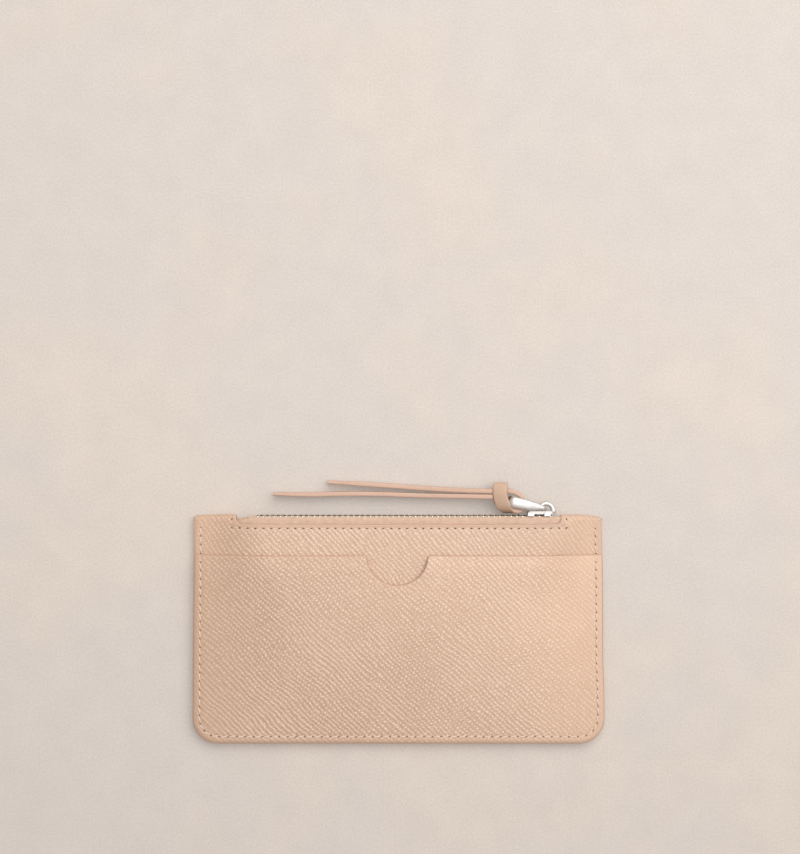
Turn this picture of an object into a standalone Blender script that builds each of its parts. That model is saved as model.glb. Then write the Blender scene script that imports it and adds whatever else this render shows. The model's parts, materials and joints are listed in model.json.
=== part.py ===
"""Slim zippered leather pouch with a slip card pocket and a leather lace on the zip pull.

The pouch lies on its back. +X runs along the zip to its closed end, +Y points from the bottom
seam to the zip, and +Z points up through the front. The origin is the middle of the back face.
The shell is one piece of leather folded over the zip, sewn along both sides and the bottom.
"""

from math import cos, hypot, pi, radians, sin

import bmesh
import bpy
from mathutils import Matrix, Vector

MM = 0.001
GAP = 0.15 * MM  # air between pieces that touch
LAYER_GAP = 0.3 * MM  # air between the curved layers of the front

# Pouch body
WIDTH = 150 * MM
HEIGHT = 83 * MM
LEATHER = 1.1 * MM
LINING = 0.35 * MM
SEAM_INSET = 2.4 * MM  # stitch line to edge
SEAM_MARGIN = 3.0 * MM  # width of the flat, sewn edge
BOTTOM_CORNER = 9.0 * MM
TOP_CORNER = 1.0 * MM
ZIP_THICKNESS = 9.0 * MM  # outside, across the fold at the zip
SEAM_THICKNESS = 2 * LEATHER + 2 * LINING + 4 * GAP  # the two walls and the lining, pressed flat
SIDE_RISE_TOP = 12 * MM  # from the flat side seam to full thickness, along the zip
SIDE_RISE_LOW = 34 * MM  # the same, further down
RISE_GROWS_FROM = 37 * MM  # Y where the side rise starts to widen
RISE_GROWS_OVER = 32 * MM

# Card pocket on the front
POCKET_TOP = 27.1 * MM
NOTCH_RADIUS = 11.0 * MM

# Zip window and the size 3 metal zip in it
WINDOW_HALF = 59.2 * MM
WINDOW_EDGE = 38.3 * MM  # Y of its long edges, front and back
WINDOW_CORNER = 2.0 * MM
TOOTH_PITCH = 2.05 * MM
TEETH_START = -51.9 * MM
TEETH_END = 56.9 * MM
TOOTH_TIP = 0.6 * MM  # tip to the middle of the chain
TOOTH_ROOT = 1.7 * MM
CHAIN_HALF = 2.1 * MM
CHAIN_MID_Y = 41.0 * MM
CHAIN_THICKNESS = 2.0 * MM
TAPE = 0.4 * MM
TAPE_LOWER_EDGE = 30.0 * MM
TAPE_HALF_LENGTH = 60.8 * MM

# Slider and its crown
SLIDER_REAR = 46.8 * MM
SLIDER_NOSE = 57.5 * MM
SLIDER_HALF_WIDTH = 3.0 * MM
SLIDER_PLATE = 1.0 * MM
SLIDER_CHANNEL = 2.4 * MM  # height between the plates
CROWN_HALF_LENGTH = 3.45 * MM
CROWN_HEIGHT = 3.55 * MM
CROWN_STRAP = 1.0 * MM
CROWN_WIDTH = 2.0 * MM
CROWN_X = 53.85 * MM

# Pull: a stirrup from the pin under the crown to the bar that carries the lace
PULL_PIN = Vector((53.3 * MM, 44.3 * MM, ZIP_THICKNESS / 2))
LACE_BAR = Vector((43.2 * MM, 46.6 * MM, ZIP_THICKNESS / 2))
PIN_RADIUS = 0.6 * MM
PIN_END_RADIUS = 0.8 * MM
LACE_BAR_HALF = (2.4 * MM, 2.0 * MM)  # along the pull, and across it
LACE_BAR_INNER = 1.85 * MM  # from its middle to the pull's window

# Lace: one flat strip, hitched round the bar, with two free tails that stand on edge
LACE_WIDTH = 5.0 * MM
LACE_THICKNESS = 1.6 * MM
LACE_LOOP_RADIUS = 2.85 * MM
BAND_LEFT = 34.6 * MM
BAND_RIGHT = 40.1 * MM
LACE_REST_Z = LACE_WIDTH / 2 + 0.1 * MM
LACE_DROP = 26 * MM  # run in which a tail sinks from the zip's height to the ground
TAIL_START_X = BAND_LEFT - 0.3 * MM
UPPER_TAIL = [(TAIL_START_X, 50.5 * MM), (21 * MM, 50.9 * MM), (8.2 * MM, 51.6 * MM),
              (-4 * MM, 52.5 * MM), (-15 * MM, 53.2 * MM), (-25.9 * MM, 53.8 * MM)]
LOWER_TAIL = [(TAIL_START_X, 48.5 * MM), (21 * MM, 48.7 * MM), (8.2 * MM, 48.9 * MM),
              (-7 * MM, 49.4 * MM), (-19.6 * MM, 49.5 * MM), (-33 * MM, 49.2 * MM),
              (-45.7 * MM, 49.5 * MM)]

THREAD = 0.25 * MM  # radius
SEAM_TOP = 36.3 * MM  # where the side seams start
ZIP_STITCH_Y = 36.9 * MM
ZIP_STITCH_HALF = 61.6 * MM

FLAT_STATIONS = (57 * MM, 53 * MM, 49 * MM, 45 * MM, 41 * MM, 36 * MM, 18 * MM)
ROW_STEP = 4 * MM  # between the rows of the front's surface

MID_Z = ZIP_THICKNESS / 2
HALF_WIDTH = WIDTH / 2
HALF_HEIGHT = HEIGHT / 2
CHAIN_TOP = CHAIN_MID_Y + CHAIN_THICKNESS / 2
PLATE_TOP = CHAIN_MID_Y + SLIDER_CHANNEL / 2 + SLIDER_PLATE
PLATE_BOTTOM = CHAIN_MID_Y - SLIDER_CHANNEL / 2 - SLIDER_PLATE


# ---------------------------------------------------------------- helpers

def clear_scene():
    for obj in list(bpy.data.objects):
        bpy.data.objects.remove(obj)


def make_material(name, colour, roughness, metallic=0.0):
    material = bpy.data.materials.new(name)
    material.use_nodes = True
    shader = material.node_tree.nodes["Principled BSDF"]
    shader.inputs["Base Color"].default_value = (*colour, 1)
    shader.inputs["Roughness"].default_value = roughness
    shader.inputs["Metallic"].default_value = metallic
    return material


def add_object(name, bm, material=None, pivot=None):
    """An object from bm, which is in world coordinates. With a pivot empty, its origin is there."""
    bmesh.ops.recalc_face_normals(bm, faces=bm.faces)
    mesh = bpy.data.meshes.new(name)
    bm.to_mesh(mesh)
    bm.free()
    obj = bpy.data.objects.new(name, mesh)
    bpy.context.scene.collection.objects.link(obj)
    if material:
        mesh.materials.append(material)
    if pivot:
        mesh.transform(Matrix.Translation(-pivot.matrix_world.translation))
        obj.parent = pivot
    mesh.shade_smooth()
    mesh.set_sharp_from_angle(angle=radians(35))
    return obj


def add_empty(name, place, parent=None):
    empty = bpy.data.objects.new(name, None)
    bpy.context.scene.collection.objects.link(empty)
    empty.empty_display_size = 5 * MM
    empty.parent = parent
    empty.location = place - (parent.matrix_world.translation if parent else Vector())
    bpy.context.view_layer.update()
    return empty


def loft(rings, closed=False):
    """A closed body through rings of equal length: capped at both ends, or joined end to end."""
    bm = bmesh.new()
    made = [[bm.verts.new(point) for point in ring] for ring in rings]
    count = len(made[0])
    pairs = list(zip(made, made[1:]))
    if closed:
        pairs.append((made[-1], made[0]))
    for ring, following in pairs:
        for i in range(count):
            j = (i + 1) % count
            bm.faces.new((ring[i], ring[j], following[j], following[i]))
    if not closed:
        bm.faces.new(made[0])
        bm.faces.new(made[-1])
    return bm


def prism(outline, axis, low, high):
    """The outline, a list of points in the two other axes in X, Y, Z order, extruded along axis."""
    def at(point, level):
        whole = list(point)
        whole.insert("XYZ".index(axis), level)
        return whole
    return loft([[at(p, low) for p in outline], [at(p, high) for p in outline]])


def box(low, high):
    outline = [(low[0], low[1]), (high[0], low[1]), (high[0], high[1]), (low[0], high[1])]
    return prism(outline, "Z", low[2], high[2])


def arc(centre, radius, start, end, steps, second_radius=None):
    """Points on an arc, or on a stretch of an ellipse, from start to end in degrees."""
    other = radius if second_radius is None else second_radius
    angles = [radians(start + (end - start) * i / steps) for i in range(steps + 1)]
    return [(centre[0] + radius * cos(a), centre[1] + other * sin(a)) for a in angles]


def boolean(obj, operation, other):
    """Combines obj with a helper, which stays in the scene as a hidden wire."""
    other.hide_render = True
    other.display_type = "WIRE"
    modifier = obj.modifiers.new(f"{operation.lower()} {other.name}", "BOOLEAN")
    modifier.operation = operation
    modifier.solver = "EXACT"
    modifier.object = other


def bevel(obj, width, segments=2):
    modifier = obj.modifiers.new("Rounded edges", "BEVEL")
    modifier.width = width
    modifier.segments = segments
    modifier.limit_method = "ANGLE"
    modifier.angle_limit = radians(40)


def smoothstep(t):
    t = max(0.0, min(1.0, t))
    return t * t * (3 - 2 * t)


def smooth_curve(points, steps):
    """Catmull-Rom points through the given ones, in any number of dimensions."""
    first = [2 * a - b for a, b in zip(points[0], points[1])]
    last = [2 * a - b for a, b in zip(points[-1], points[-2])]
    padded = [first, *points, last]
    made = []
    for p0, p1, p2, p3 in zip(padded, padded[1:], padded[2:], padded[3:]):
        for i in range(steps):
            t = i / steps
            made.append(tuple(
                0.5 * (2 * b + (c - a) * t + (2 * a - 5 * b + 4 * c - d) * t * t
                       + (3 * b - a - 3 * c + d) * t ** 3)
                for a, b, c, d in zip(p0, p1, p2, p3)))
    made.append(tuple(points[-1]))
    return made


# ---------------------------------------------------------------- form of the pouch

def front_z(x, y):
    """Height of the shell's front face: flat at the seams, fullest along the zip."""
    from_side = HALF_WIDTH - abs(x) - SEAM_MARGIN
    from_bottom = y + HALF_HEIGHT - SEAM_MARGIN
    lower = smoothstep((RISE_GROWS_FROM - y) / RISE_GROWS_OVER)
    across = smoothstep(from_side / (SIDE_RISE_TOP + (SIDE_RISE_LOW - SIDE_RISE_TOP) * lower))
    share = max(0.0, min(1.0, from_bottom / (HEIGHT - SEAM_MARGIN)))
    return SEAM_THICKNESS + (ZIP_THICKNESS - SEAM_THICKNESS) * across * sin(pi / 2 * share)


def stations(half_length):
    """X places of the cross-sections: close together where the sides rise, and few between."""
    rising = [HALF_WIDTH - SEAM_MARGIN - SIDE_RISE_TOP * i / 5 for i in range(6)]
    inner = [x for x in (*rising, *FLAT_STATIONS) if x < half_length - 0.5 * MM]
    right = [half_length, *inner]
    return [-x for x in right] + [0.0] + right[::-1]


def rows(low, high):
    """Y places from low to high. The ones between are common to every layer of the front."""
    shared = [-40 * MM + ROW_STEP * i for i in range(20)]
    return [low] + [y for y in shared if low + 0.5 * MM < y < high - 0.5 * MM] + [high]


def body_outline(inset=0.0):
    """The pouch seen from the front: square at the fold, round at the bottom corners."""
    outline = []
    corners = ((1, -1, BOTTOM_CORNER, 270), (1, 1, TOP_CORNER, 0),
               (-1, 1, TOP_CORNER, 90), (-1, -1, BOTTOM_CORNER, 180))
    for side, end, radius, start in corners:
        centre = (side * (HALF_WIDTH - radius), end * (HALF_HEIGHT - radius))
        outline += arc(centre, radius - inset, start, start + 90, 6 if end < 0 else 3)
    return outline


def outline_cutter(name, inset=0.0):
    return add_object(name, prism(body_outline(inset), "Z", -5 * MM, ZIP_THICKNESS + 5 * MM))


def shell_section(x):
    """A U on its side: back wall, fold at the zip, front wall."""
    thickness = front_z(x, HALF_HEIGHT)
    depth = 0.4 * thickness  # of the fold, along Y
    start = HALF_HEIGHT - depth
    middle = thickness / 2
    front = rows(-HALF_HEIGHT, start)[:-1][::-1]
    outer = [(-HALF_HEIGHT, 0.0)]
    outer += arc((start, middle), depth, -90, 90, 8, middle)
    outer += [(y, front_z(x, y)) for y in front]
    inner = [(y, front_z(x, y) - LEATHER) for y in front[::-1]]
    inner += arc((start, middle), depth - LEATHER, 90, -90, 8, middle - LEATHER)
    inner += [(-HALF_HEIGHT, LEATHER)]
    return [(x, y, z) for y, z in outer + inner]


def seam_route(inset, top):
    """The U-shaped stitch line: down the left side, along the bottom and up the right side."""
    radius = BOTTOM_CORNER - inset
    left = -HALF_WIDTH + BOTTOM_CORNER
    low = -HALF_HEIGHT + BOTTOM_CORNER
    return ([(-HALF_WIDTH + inset, top)] + arc((left, low), radius, 180, 270, 5)
            + arc((-left, low), radius, 270, 360, 5) + [(HALF_WIDTH - inset, top)])


def mitre(route, i, half_width):
    """The sideways offset of a bar's edge at point i of its route."""
    def normal(first, second):
        length = hypot(second[0] - first[0], second[1] - first[1])
        return Vector((first[1] - second[1], second[0] - first[0])) / length
    before = normal(route[i - 1], route[i]) if i else None
    after = normal(route[i], route[i + 1]) if i + 1 < len(route) else before
    before = before or after
    both = (before + after).normalized()
    return both * half_width / both.dot(after)


def strip_along(route, half_width, low, high):
    """A rectangular bar along an open route in the XY plane."""
    rings = []
    for i, (x, y) in enumerate(route):
        side = mitre(route, i, half_width)
        rings.append([(x + side.x, y + side.y, low), (x - side.x, y - side.y, low),
                      (x - side.x, y - side.y, high), (x + side.x, y + side.y, high)])
    return loft(rings)


def tube(name, points, radius, material):
    """A round thread or cord along the points, as a curve with filled ends."""
    curve = bpy.data.curves.new(name, "CURVE")
    curve.dimensions = "3D"
    curve.bevel_depth = radius
    curve.bevel_resolution = 1
    curve.use_fill_caps = True
    spline = curve.splines.new("POLY")
    spline.points.add(len(points) - 1)
    for made, point in zip(spline.points, points):
        made.co = (*point, 1)
    curve.materials.append(material)
    obj = bpy.data.objects.new(name, curve)
    bpy.context.scene.collection.objects.link(obj)
    return obj


# ---------------------------------------------------------------- leather and lining

def zip_stitch_back_route():
    rise = 1.2 * MM
    return [(-ZIP_STITCH_HALF, ZIP_STITCH_Y + rise), (-ZIP_STITCH_HALF, ZIP_STITCH_Y),
            (ZIP_STITCH_HALF, ZIP_STITCH_Y), (ZIP_STITCH_HALF, ZIP_STITCH_Y + rise)]


def make_shell(leather):
    shell = add_object("outer_shell", loft([shell_section(x) for x in stations(HALF_WIDTH)]),
                       leather)
    boolean(shell, "INTERSECT", outline_cutter("shell_outline"))
    window = []
    for side, start in ((1, 270), (-1, 180)):
        centre = (side * (WINDOW_HALF - WINDOW_CORNER), WINDOW_EDGE + WINDOW_CORNER)
        window += arc(centre, WINDOW_CORNER, start, start + 90, 4)
    beyond = HALF_HEIGHT + 5 * MM
    first = window[:5]
    second = window[5:]
    window = first + [(WINDOW_HALF, beyond), (-WINDOW_HALF, beyond)] + second
    boolean(shell, "DIFFERENCE", add_object(
        "zip_window", prism(window, "Z", -5 * MM, ZIP_THICKNESS + 5 * MM)))
    groove_depth = 2 * THREAD + 2 * GAP
    for name, route in (("seam_groove", seam_route(SEAM_INSET, SEAM_TOP + 0.3 * MM)),
                        ("zip_groove", zip_stitch_back_route())):
        boolean(shell, "DIFFERENCE", add_object(
            name, strip_along(route, THREAD + GAP, -1 * MM, groove_depth)))


def make_lining(fabric):
    """The inner bag: one sheet folded at the bottom, open along the zip tapes."""
    mouth = TAPE_LOWER_EDGE - 0.5 * MM
    bottom = -HALF_HEIGHT + SEAM_MARGIN
    inset = 0.5 * MM
    low = LEATHER + GAP
    sections = []
    for x in stations(HALF_WIDTH - inset):
        rising = rows(bottom, mouth)
        front_in = [(y, front_z(x, y) - LEATHER - LAYER_GAP - LINING) for y in rising]
        front_out = [(y, z + LINING) for y, z in front_in[::-1]]
        front_out[-1] = (bottom - LINING, front_out[-1][1])
        section = [(bottom - LINING, low), (mouth, low), (mouth, low + LINING),
                   (bottom, low + LINING), *front_in, *front_out]
        sections.append([(x, y, z) for y, z in section])
    lining = add_object("lining", loft(sections), fabric)
    boolean(lining, "INTERSECT", outline_cutter("lining_outline", inset))


def make_pocket(leather):
    """The slip pocket: a leather panel that follows the front, with a half-round thumb notch."""
    sections = []
    for x in stations(HALF_WIDTH):
        rising = rows(-HALF_HEIGHT, POCKET_TOP)
        under = [(y, front_z(x, y) + LAYER_GAP) for y in rising]
        over = [(y, z + LEATHER) for y, z in under[::-1]]
        sections.append([(x, y, z) for y, z in under + over])
    pocket = add_object("card_pocket", loft(sections), leather)
    boolean(pocket, "INTERSECT", outline_cutter("pocket_outline"))
    notch = arc((0, POCKET_TOP), NOTCH_RADIUS, 180, 360, 16)
    notch += [(NOTCH_RADIUS, POCKET_TOP + 5 * MM), (-NOTCH_RADIUS, POCKET_TOP + 5 * MM)]
    boolean(pocket, "DIFFERENCE", add_object(
        "thumb_notch", prism(notch, "Z", 0.0, ZIP_THICKNESS + 5 * MM)))


def make_stitching(thread):
    """Needle thread on the front and bobbin thread in the back, for the seam and for the zip."""
    above = GAP + THREAD
    pocket_over = LAYER_GAP + LEATHER
    edge = POCKET_TOP
    seam = seam_route(SEAM_INSET, edge - 0.5 * MM)
    low = SEAM_THICKNESS + above
    left = [(-HALF_WIDTH + SEAM_INSET, SEAM_TOP, low),
            (-HALF_WIDTH + SEAM_INSET, edge + 1.5 * MM, low),
            (-HALF_WIDTH + SEAM_INSET, edge + 0.6 * MM, low + pocket_over)]
    right = [(-x, y, z) for x, y, z in left[::-1]]
    across = [(x, y, low + pocket_over) for x, y in seam]
    tube("seam_stitching_front", left + across + right, THREAD, thread)
    depth = GAP + THREAD
    tube("seam_stitching_back", [(x, y, depth) for x, y in seam_route(SEAM_INSET, SEAM_TOP)],
         THREAD, thread)
    rise = [(y, front_z(ZIP_STITCH_HALF, y) + above) for y in (ZIP_STITCH_Y, 38 * MM)]
    ends = [(ZIP_STITCH_HALF, y, z) for y, z in rise]
    flat = [(x, ZIP_STITCH_Y, front_z(x, ZIP_STITCH_Y) + above)
            for x in (58 * MM, 40 * MM, 0, -40 * MM, -58 * MM)]
    tube("zip_stitching_front",
         ends[::-1] + flat + [(-x, y, z) for x, y, z in ends], THREAD, thread)
    route = zip_stitch_back_route()
    short = [(route[0][0], route[0][1] - 0.3 * MM), *route[1:3],
             (route[3][0], route[3][1] - 0.3 * MM)]
    tube("zip_stitching_back", [(x, y, depth) for x, y in short], THREAD, thread)


# ---------------------------------------------------------------- zip

def tape_top(x):
    """Y of a tape's upper turn, which dives under the leather past the window's ends."""
    return CHAIN_MID_Y - 2.3 * MM * smoothstep((abs(x) - 57.6 * MM) / (1.4 * MM))


def make_tape(name, side, fabric):
    """One half of the zip's tape: out from the teeth, round a bend and down inside its wall."""
    half = TAPE / 2
    wall = MID_Z - LEATHER - 2 * GAP
    sections = []
    right = [TAPE_HALF_LENGTH, 59 * MM, 57.6 * MM, *FLAT_STATIONS]
    for x in [-x for x in right] + [0.0] + right[::-1]:
        top = tape_top(x)
        start = CHAIN_HALF + GAP
        hidden = [(y, front_z(x, y) - LEATHER - 2 * GAP - MID_Z if side > 0 else wall)
                  for y in (36.8 * MM, 36 * MM, 32 * MM, TAPE_LOWER_EDGE)]
        outer = [(top + half, start), (top + half, start + 0.35 * MM),
                 (top - 0.1 * MM, wall - 0.25 * MM), (top - 0.7 * MM, wall), *hidden]
        inner = [(y, w - TAPE) for y, w in hidden[::-1]]
        inner += [(top - 0.8 * MM, wall - TAPE), (top - 0.35 * MM, wall - TAPE - 0.15 * MM),
                  (top - half, start + 0.2 * MM), (top - half, start)]
        sections.append([(x, y, MID_Z + side * w) for y, w in outer + inner])
    return add_object(name, loft(sections), fabric)


def make_teeth(name, side, offset, metal):
    """One row of teeth. A thin rail stands for the tape's corded edge, which holds them."""
    half_root = 0.55 * MM
    half_tip = 0.35 * MM
    comb = [(TEETH_START, CHAIN_HALF), (TEETH_START, TOOTH_ROOT)]
    centre = TEETH_START + half_root + 0.1 * MM + offset
    while centre + half_root < TEETH_END:
        comb += [(centre - half_root, TOOTH_ROOT), (centre - half_tip, TOOTH_TIP),
                 (centre + half_tip, TOOTH_TIP), (centre + half_root, TOOTH_ROOT)]
        centre += TOOTH_PITCH
    comb += [(TEETH_END, TOOTH_ROOT), (TEETH_END, CHAIN_HALF)]
    outline = [(x, MID_Z + side * w) for x, w in comb]
    low = CHAIN_MID_Y - CHAIN_THICKNESS / 2
    return add_object(name, prism(outline, "Y", low, low + CHAIN_THICKNESS), metal)


def make_stops(metal):
    stop_half = 0.9 * MM
    for name, side in (("top_stop_front", 1), ("top_stop_back", -1)):
        reach = sorted((MID_Z + side * 0.9 * MM, MID_Z + side * CHAIN_HALF))
        stop = add_object(name, box(
            (SLIDER_NOSE + 0.2 * MM, CHAIN_MID_Y - stop_half, reach[0]),
            (SLIDER_NOSE + 1.3 * MM, CHAIN_MID_Y + stop_half, reach[1])), metal)
        bevel(stop, 0.25 * MM)
    bottom = add_object("bottom_stop", box(
        (TEETH_START - 2.4 * MM, CHAIN_MID_Y - stop_half, MID_Z - CHAIN_HALF),
        (TEETH_START - 0.4 * MM, CHAIN_MID_Y + stop_half, MID_Z + CHAIN_HALF)), metal)
    bevel(bottom, 0.3 * MM)


# ---------------------------------------------------------------- slider, pull and lace

def plate_outline(half_width):
    """A slider plate from above: narrow at the rear, wide and round at the nose."""
    nose = 2.2 * MM
    rear = 1.0 * MM
    rear_half = half_width - 0.25 * MM
    points = arc((SLIDER_NOSE - nose, half_width - nose), nose, 0, 90, 4)
    points += arc((SLIDER_REAR + rear, rear_half - rear), rear, 90, 180, 3)
    points += [(x, -w) for x, w in points[::-1]]
    return [(x, MID_Z + w) for x, w in points]


def make_slider(metal, pivot):
    overlap = 0.1 * MM
    channel_low = CHAIN_MID_Y - SLIDER_CHANNEL / 2
    channel_high = CHAIN_MID_Y + SLIDER_CHANNEL / 2
    slider = add_object("slider_body", prism(
        plate_outline(SLIDER_HALF_WIDTH), "Y", channel_high, PLATE_TOP), metal, pivot)
    lower_half = SLIDER_HALF_WIDTH - 0.45 * MM
    pieces = [("slider_lower_plate",
               prism(plate_outline(lower_half), "Y", PLATE_BOTTOM, channel_low)),
              ("slider_post",
               box((SLIDER_NOSE - 4.2 * MM, channel_low - overlap, MID_Z - 0.4 * MM),
                   (SLIDER_NOSE - 1.0 * MM, channel_high + overlap, MID_Z + 0.4 * MM)))]
    flange_inner = CHAIN_HALF + 0.2 * MM
    flange_outer = SLIDER_HALF_WIDTH - 0.27 * MM
    for label, side in (("front", 1), ("back", -1)):
        reach = sorted((MID_Z + side * flange_inner, MID_Z + side * flange_outer))
        pieces.append((f"slider_flange_{label}", box(
            (SLIDER_REAR + 0.6 * MM, channel_high - 0.75 * MM, reach[0]),
            (SLIDER_NOSE - 3.0 * MM, channel_high + overlap, reach[1]))))
    for name, shape in pieces:
        boolean(slider, "UNION", add_object(name, shape, pivot=pivot))
    base = PLATE_TOP + GAP
    arch = arc((CROWN_X, base), CROWN_HALF_LENGTH, 0, 180, 12, CROWN_HEIGHT)
    arch += arc((CROWN_X, base), CROWN_HALF_LENGTH - CROWN_STRAP, 180, 0, 12,
                CROWN_HEIGHT - CROWN_STRAP)
    crown = add_object("slider_crown", prism(
        arch, "Z", MID_Z - CROWN_WIDTH / 2, MID_Z + CROWN_WIDTH / 2), metal, pivot)
    bevel(crown, 0.2 * MM, 1)


def along_pull(u, v):
    """A point in the XY plane, u along the pull from its pin and v across it."""
    length = (LACE_BAR - PULL_PIN).length
    direction = (LACE_BAR - PULL_PIN) / length
    return (PULL_PIN.x + u * direction.x - v * direction.y,
            PULL_PIN.y + u * direction.y + v * direction.x)


def pull_prism(outline, half_depth):
    """Extrudes an outline in the pull's own (along, across the zip) plane through its thickness."""
    rings = []
    for v in (-half_depth, half_depth):
        rings.append([(*along_pull(u, v), MID_Z + w) for u, w in outline])
    return loft(rings)


def make_pull(metal, pivot):
    """A cast stirrup: a teardrop from the side, and a tapered frame from above."""
    length = (LACE_BAR - PULL_PIN).length
    bar_long, bar_high = LACE_BAR_HALF
    swell = (0.33 * length, 1.4 * MM)  # the sides curve out from the pin to the bar
    profile = [swell, *arc((0, 0), PIN_END_RADIUS, 100, 260, 6), (swell[0], -swell[1])]
    profile += arc((length, 0), bar_long, -95, 95, 10, bar_high)
    pull = add_object("pull_tab", prism(
        [along_pull(u, v) for u, v in profile], "Z", MID_Z - 5 * MM, MID_Z + 5 * MM),
        metal, pivot)
    pin_half, bar_half, wall = 2.3 * MM, 3.8 * MM, 1.0 * MM
    taper = [(-2 * MM, pin_half), (0.5 * MM, pin_half), (length - 2 * MM, bar_half),
             (length + 4 * MM, bar_half)]
    outside = taper + [(u, -w) for u, w in taper[::-1]]
    boolean(pull, "INTERSECT", add_object(
        "pull_outside", pull_prism(outside, 5 * MM), pivot=pivot))
    opening = [(PIN_RADIUS, pin_half - wall), (length - 4.5 * MM, bar_half - wall),
               (length - LACE_BAR_INNER, bar_half - wall)]
    window = opening + [(u, -w) for u, w in opening[::-1]]
    boolean(pull, "DIFFERENCE", add_object(
        "pull_window", pull_prism(window, 5 * MM), pivot=pivot))


def make_hitch(leather, pivot):
    """The hitched middle of the lace: its loop round the bar, and the turn that binds the tails."""
    inner = LACE_LOOP_RADIUS
    outer = inner + LACE_THICKNESS
    inside = 2 * MM
    loop = arc((LACE_BAR.x, LACE_BAR.y), outer, 90, -90, 14)
    loop += [(BAND_RIGHT - inside, LACE_BAR.y - outer), (BAND_RIGHT - inside, LACE_BAR.y - inner)]
    loop += arc((LACE_BAR.x, LACE_BAR.y), inner, -90, 90, 14)
    loop += [(BAND_RIGHT - inside, LACE_BAR.y + inner), (BAND_RIGHT - inside, LACE_BAR.y + outer)]
    hitch = add_object("lace_hitch", prism(
        loop, "Z", MID_Z - LACE_WIDTH / 2, MID_Z + LACE_WIDTH / 2), leather, pivot)
    band = [(BAND_LEFT, 48.2 * MM), (36.6 * MM, 44.6 * MM), (38.6 * MM, 42.5 * MM),
            (BAND_RIGHT, 42.4 * MM), (BAND_RIGHT, 53.0 * MM), (BAND_LEFT, 53.0 * MM)]
    turn = LACE_WIDTH / 2 + LACE_THICKNESS - 0.2 * MM
    binding = add_object("lace_band", prism(band, "Z", MID_Z - turn, MID_Z + turn), pivot=pivot)
    bevel(binding, 1.2 * MM, 3)
    boolean(hitch, "UNION", binding)


def make_tail(name, route, leather, pivot):
    """A free tail of the lace: the flat strip stands on edge and sinks to the ground."""
    rings = []
    points = smooth_curve(route, 3)
    for i, (x, y) in enumerate(points):
        across = mitre(points, i, LACE_THICKNESS / 2)
        sunk = smoothstep((TAIL_START_X - x) / LACE_DROP)
        z = MID_Z + (LACE_REST_Z - MID_Z) * sunk
        low, high = z - LACE_WIDTH / 2, z + LACE_WIDTH / 2
        rings.append([(x + across.x, y + across.y, low), (x - across.x, y - across.y, low),
                      (x - across.x, y - across.y, high), (x + across.x, y + across.y, high)])
    return add_object(name, loft(rings), leather, pivot)


def main():
    clear_scene()
    leather = make_material("grained_leather", (0.70, 0.50, 0.35), 0.5)
    lace_leather = make_material("lace_leather", (0.69, 0.47, 0.34), 0.55)
    lining = make_material("lining_fabric", (0.66, 0.52, 0.40), 0.85)
    tape = make_material("zip_tape", (0.69, 0.49, 0.36), 0.8)
    nickel = make_material("nickel", (0.86, 0.85, 0.83), 0.18, 1.0)
    thread = make_material("thread", (0.72, 0.54, 0.40), 0.7)

    make_shell(leather)
    make_lining(lining)
    make_pocket(leather)
    make_stitching(thread)
    make_tape("zip_tape_front", 1, tape)
    make_tape("zip_tape_back", -1, tape)
    make_teeth("zip_teeth_front", 1, 0.0, nickel)
    make_teeth("zip_teeth_back", -1, TOOTH_PITCH / 2, nickel)
    make_stops(nickel)

    slider_middle = Vector(((SLIDER_REAR + SLIDER_NOSE) / 2, CHAIN_MID_Y, MID_Z))
    slider = add_empty("slider_travel", slider_middle)
    pull = add_empty("pull_swing", PULL_PIN, slider)
    lace = add_empty("lace_swing", LACE_BAR, pull)
    make_slider(nickel, slider)
    make_pull(nickel, pull)
    make_hitch(lace_leather, lace)
    make_tail("lace_tail_upper", UPPER_TAIL, lace_leather, lace)
    make_tail("lace_tail_lower", LOWER_TAIL, lace_leather, lace)


main()
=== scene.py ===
"""The visual model of a zippered leather pouch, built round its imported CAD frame.

+X runs along the zip to its closed end, +Y from the bottom seam to the zip and +Z out of the
front. The pouch lies on its back and the camera looks straight down on it.
"""

import json
from math import atan2, ceil, cos, pi, radians, sin, sqrt

import bmesh
import bpy
import numpy as np
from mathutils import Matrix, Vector


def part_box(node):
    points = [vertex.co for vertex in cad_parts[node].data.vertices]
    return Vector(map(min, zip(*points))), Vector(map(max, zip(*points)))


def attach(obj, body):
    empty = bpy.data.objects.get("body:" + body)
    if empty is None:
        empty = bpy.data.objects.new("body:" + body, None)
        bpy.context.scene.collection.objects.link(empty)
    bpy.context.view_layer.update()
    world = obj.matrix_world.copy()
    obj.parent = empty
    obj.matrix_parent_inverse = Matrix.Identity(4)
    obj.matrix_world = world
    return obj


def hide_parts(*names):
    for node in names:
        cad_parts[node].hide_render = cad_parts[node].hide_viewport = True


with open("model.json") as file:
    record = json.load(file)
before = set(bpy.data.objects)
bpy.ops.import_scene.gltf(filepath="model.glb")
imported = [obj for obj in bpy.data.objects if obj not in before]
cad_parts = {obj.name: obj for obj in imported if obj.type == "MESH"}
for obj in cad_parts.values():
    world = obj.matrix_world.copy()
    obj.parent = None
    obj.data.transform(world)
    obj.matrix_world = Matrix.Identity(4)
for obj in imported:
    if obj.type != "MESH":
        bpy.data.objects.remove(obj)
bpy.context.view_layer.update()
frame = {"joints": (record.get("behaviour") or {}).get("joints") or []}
MM = 0.001

# Lengths are in millimetres, and make_object and add_mesh take them to metres. Only the
# camera, the lights and the ground's height are placed in metres.


def box(name):
    """A CAD node's two corners, in millimetres."""
    return [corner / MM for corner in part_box(name)]


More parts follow.
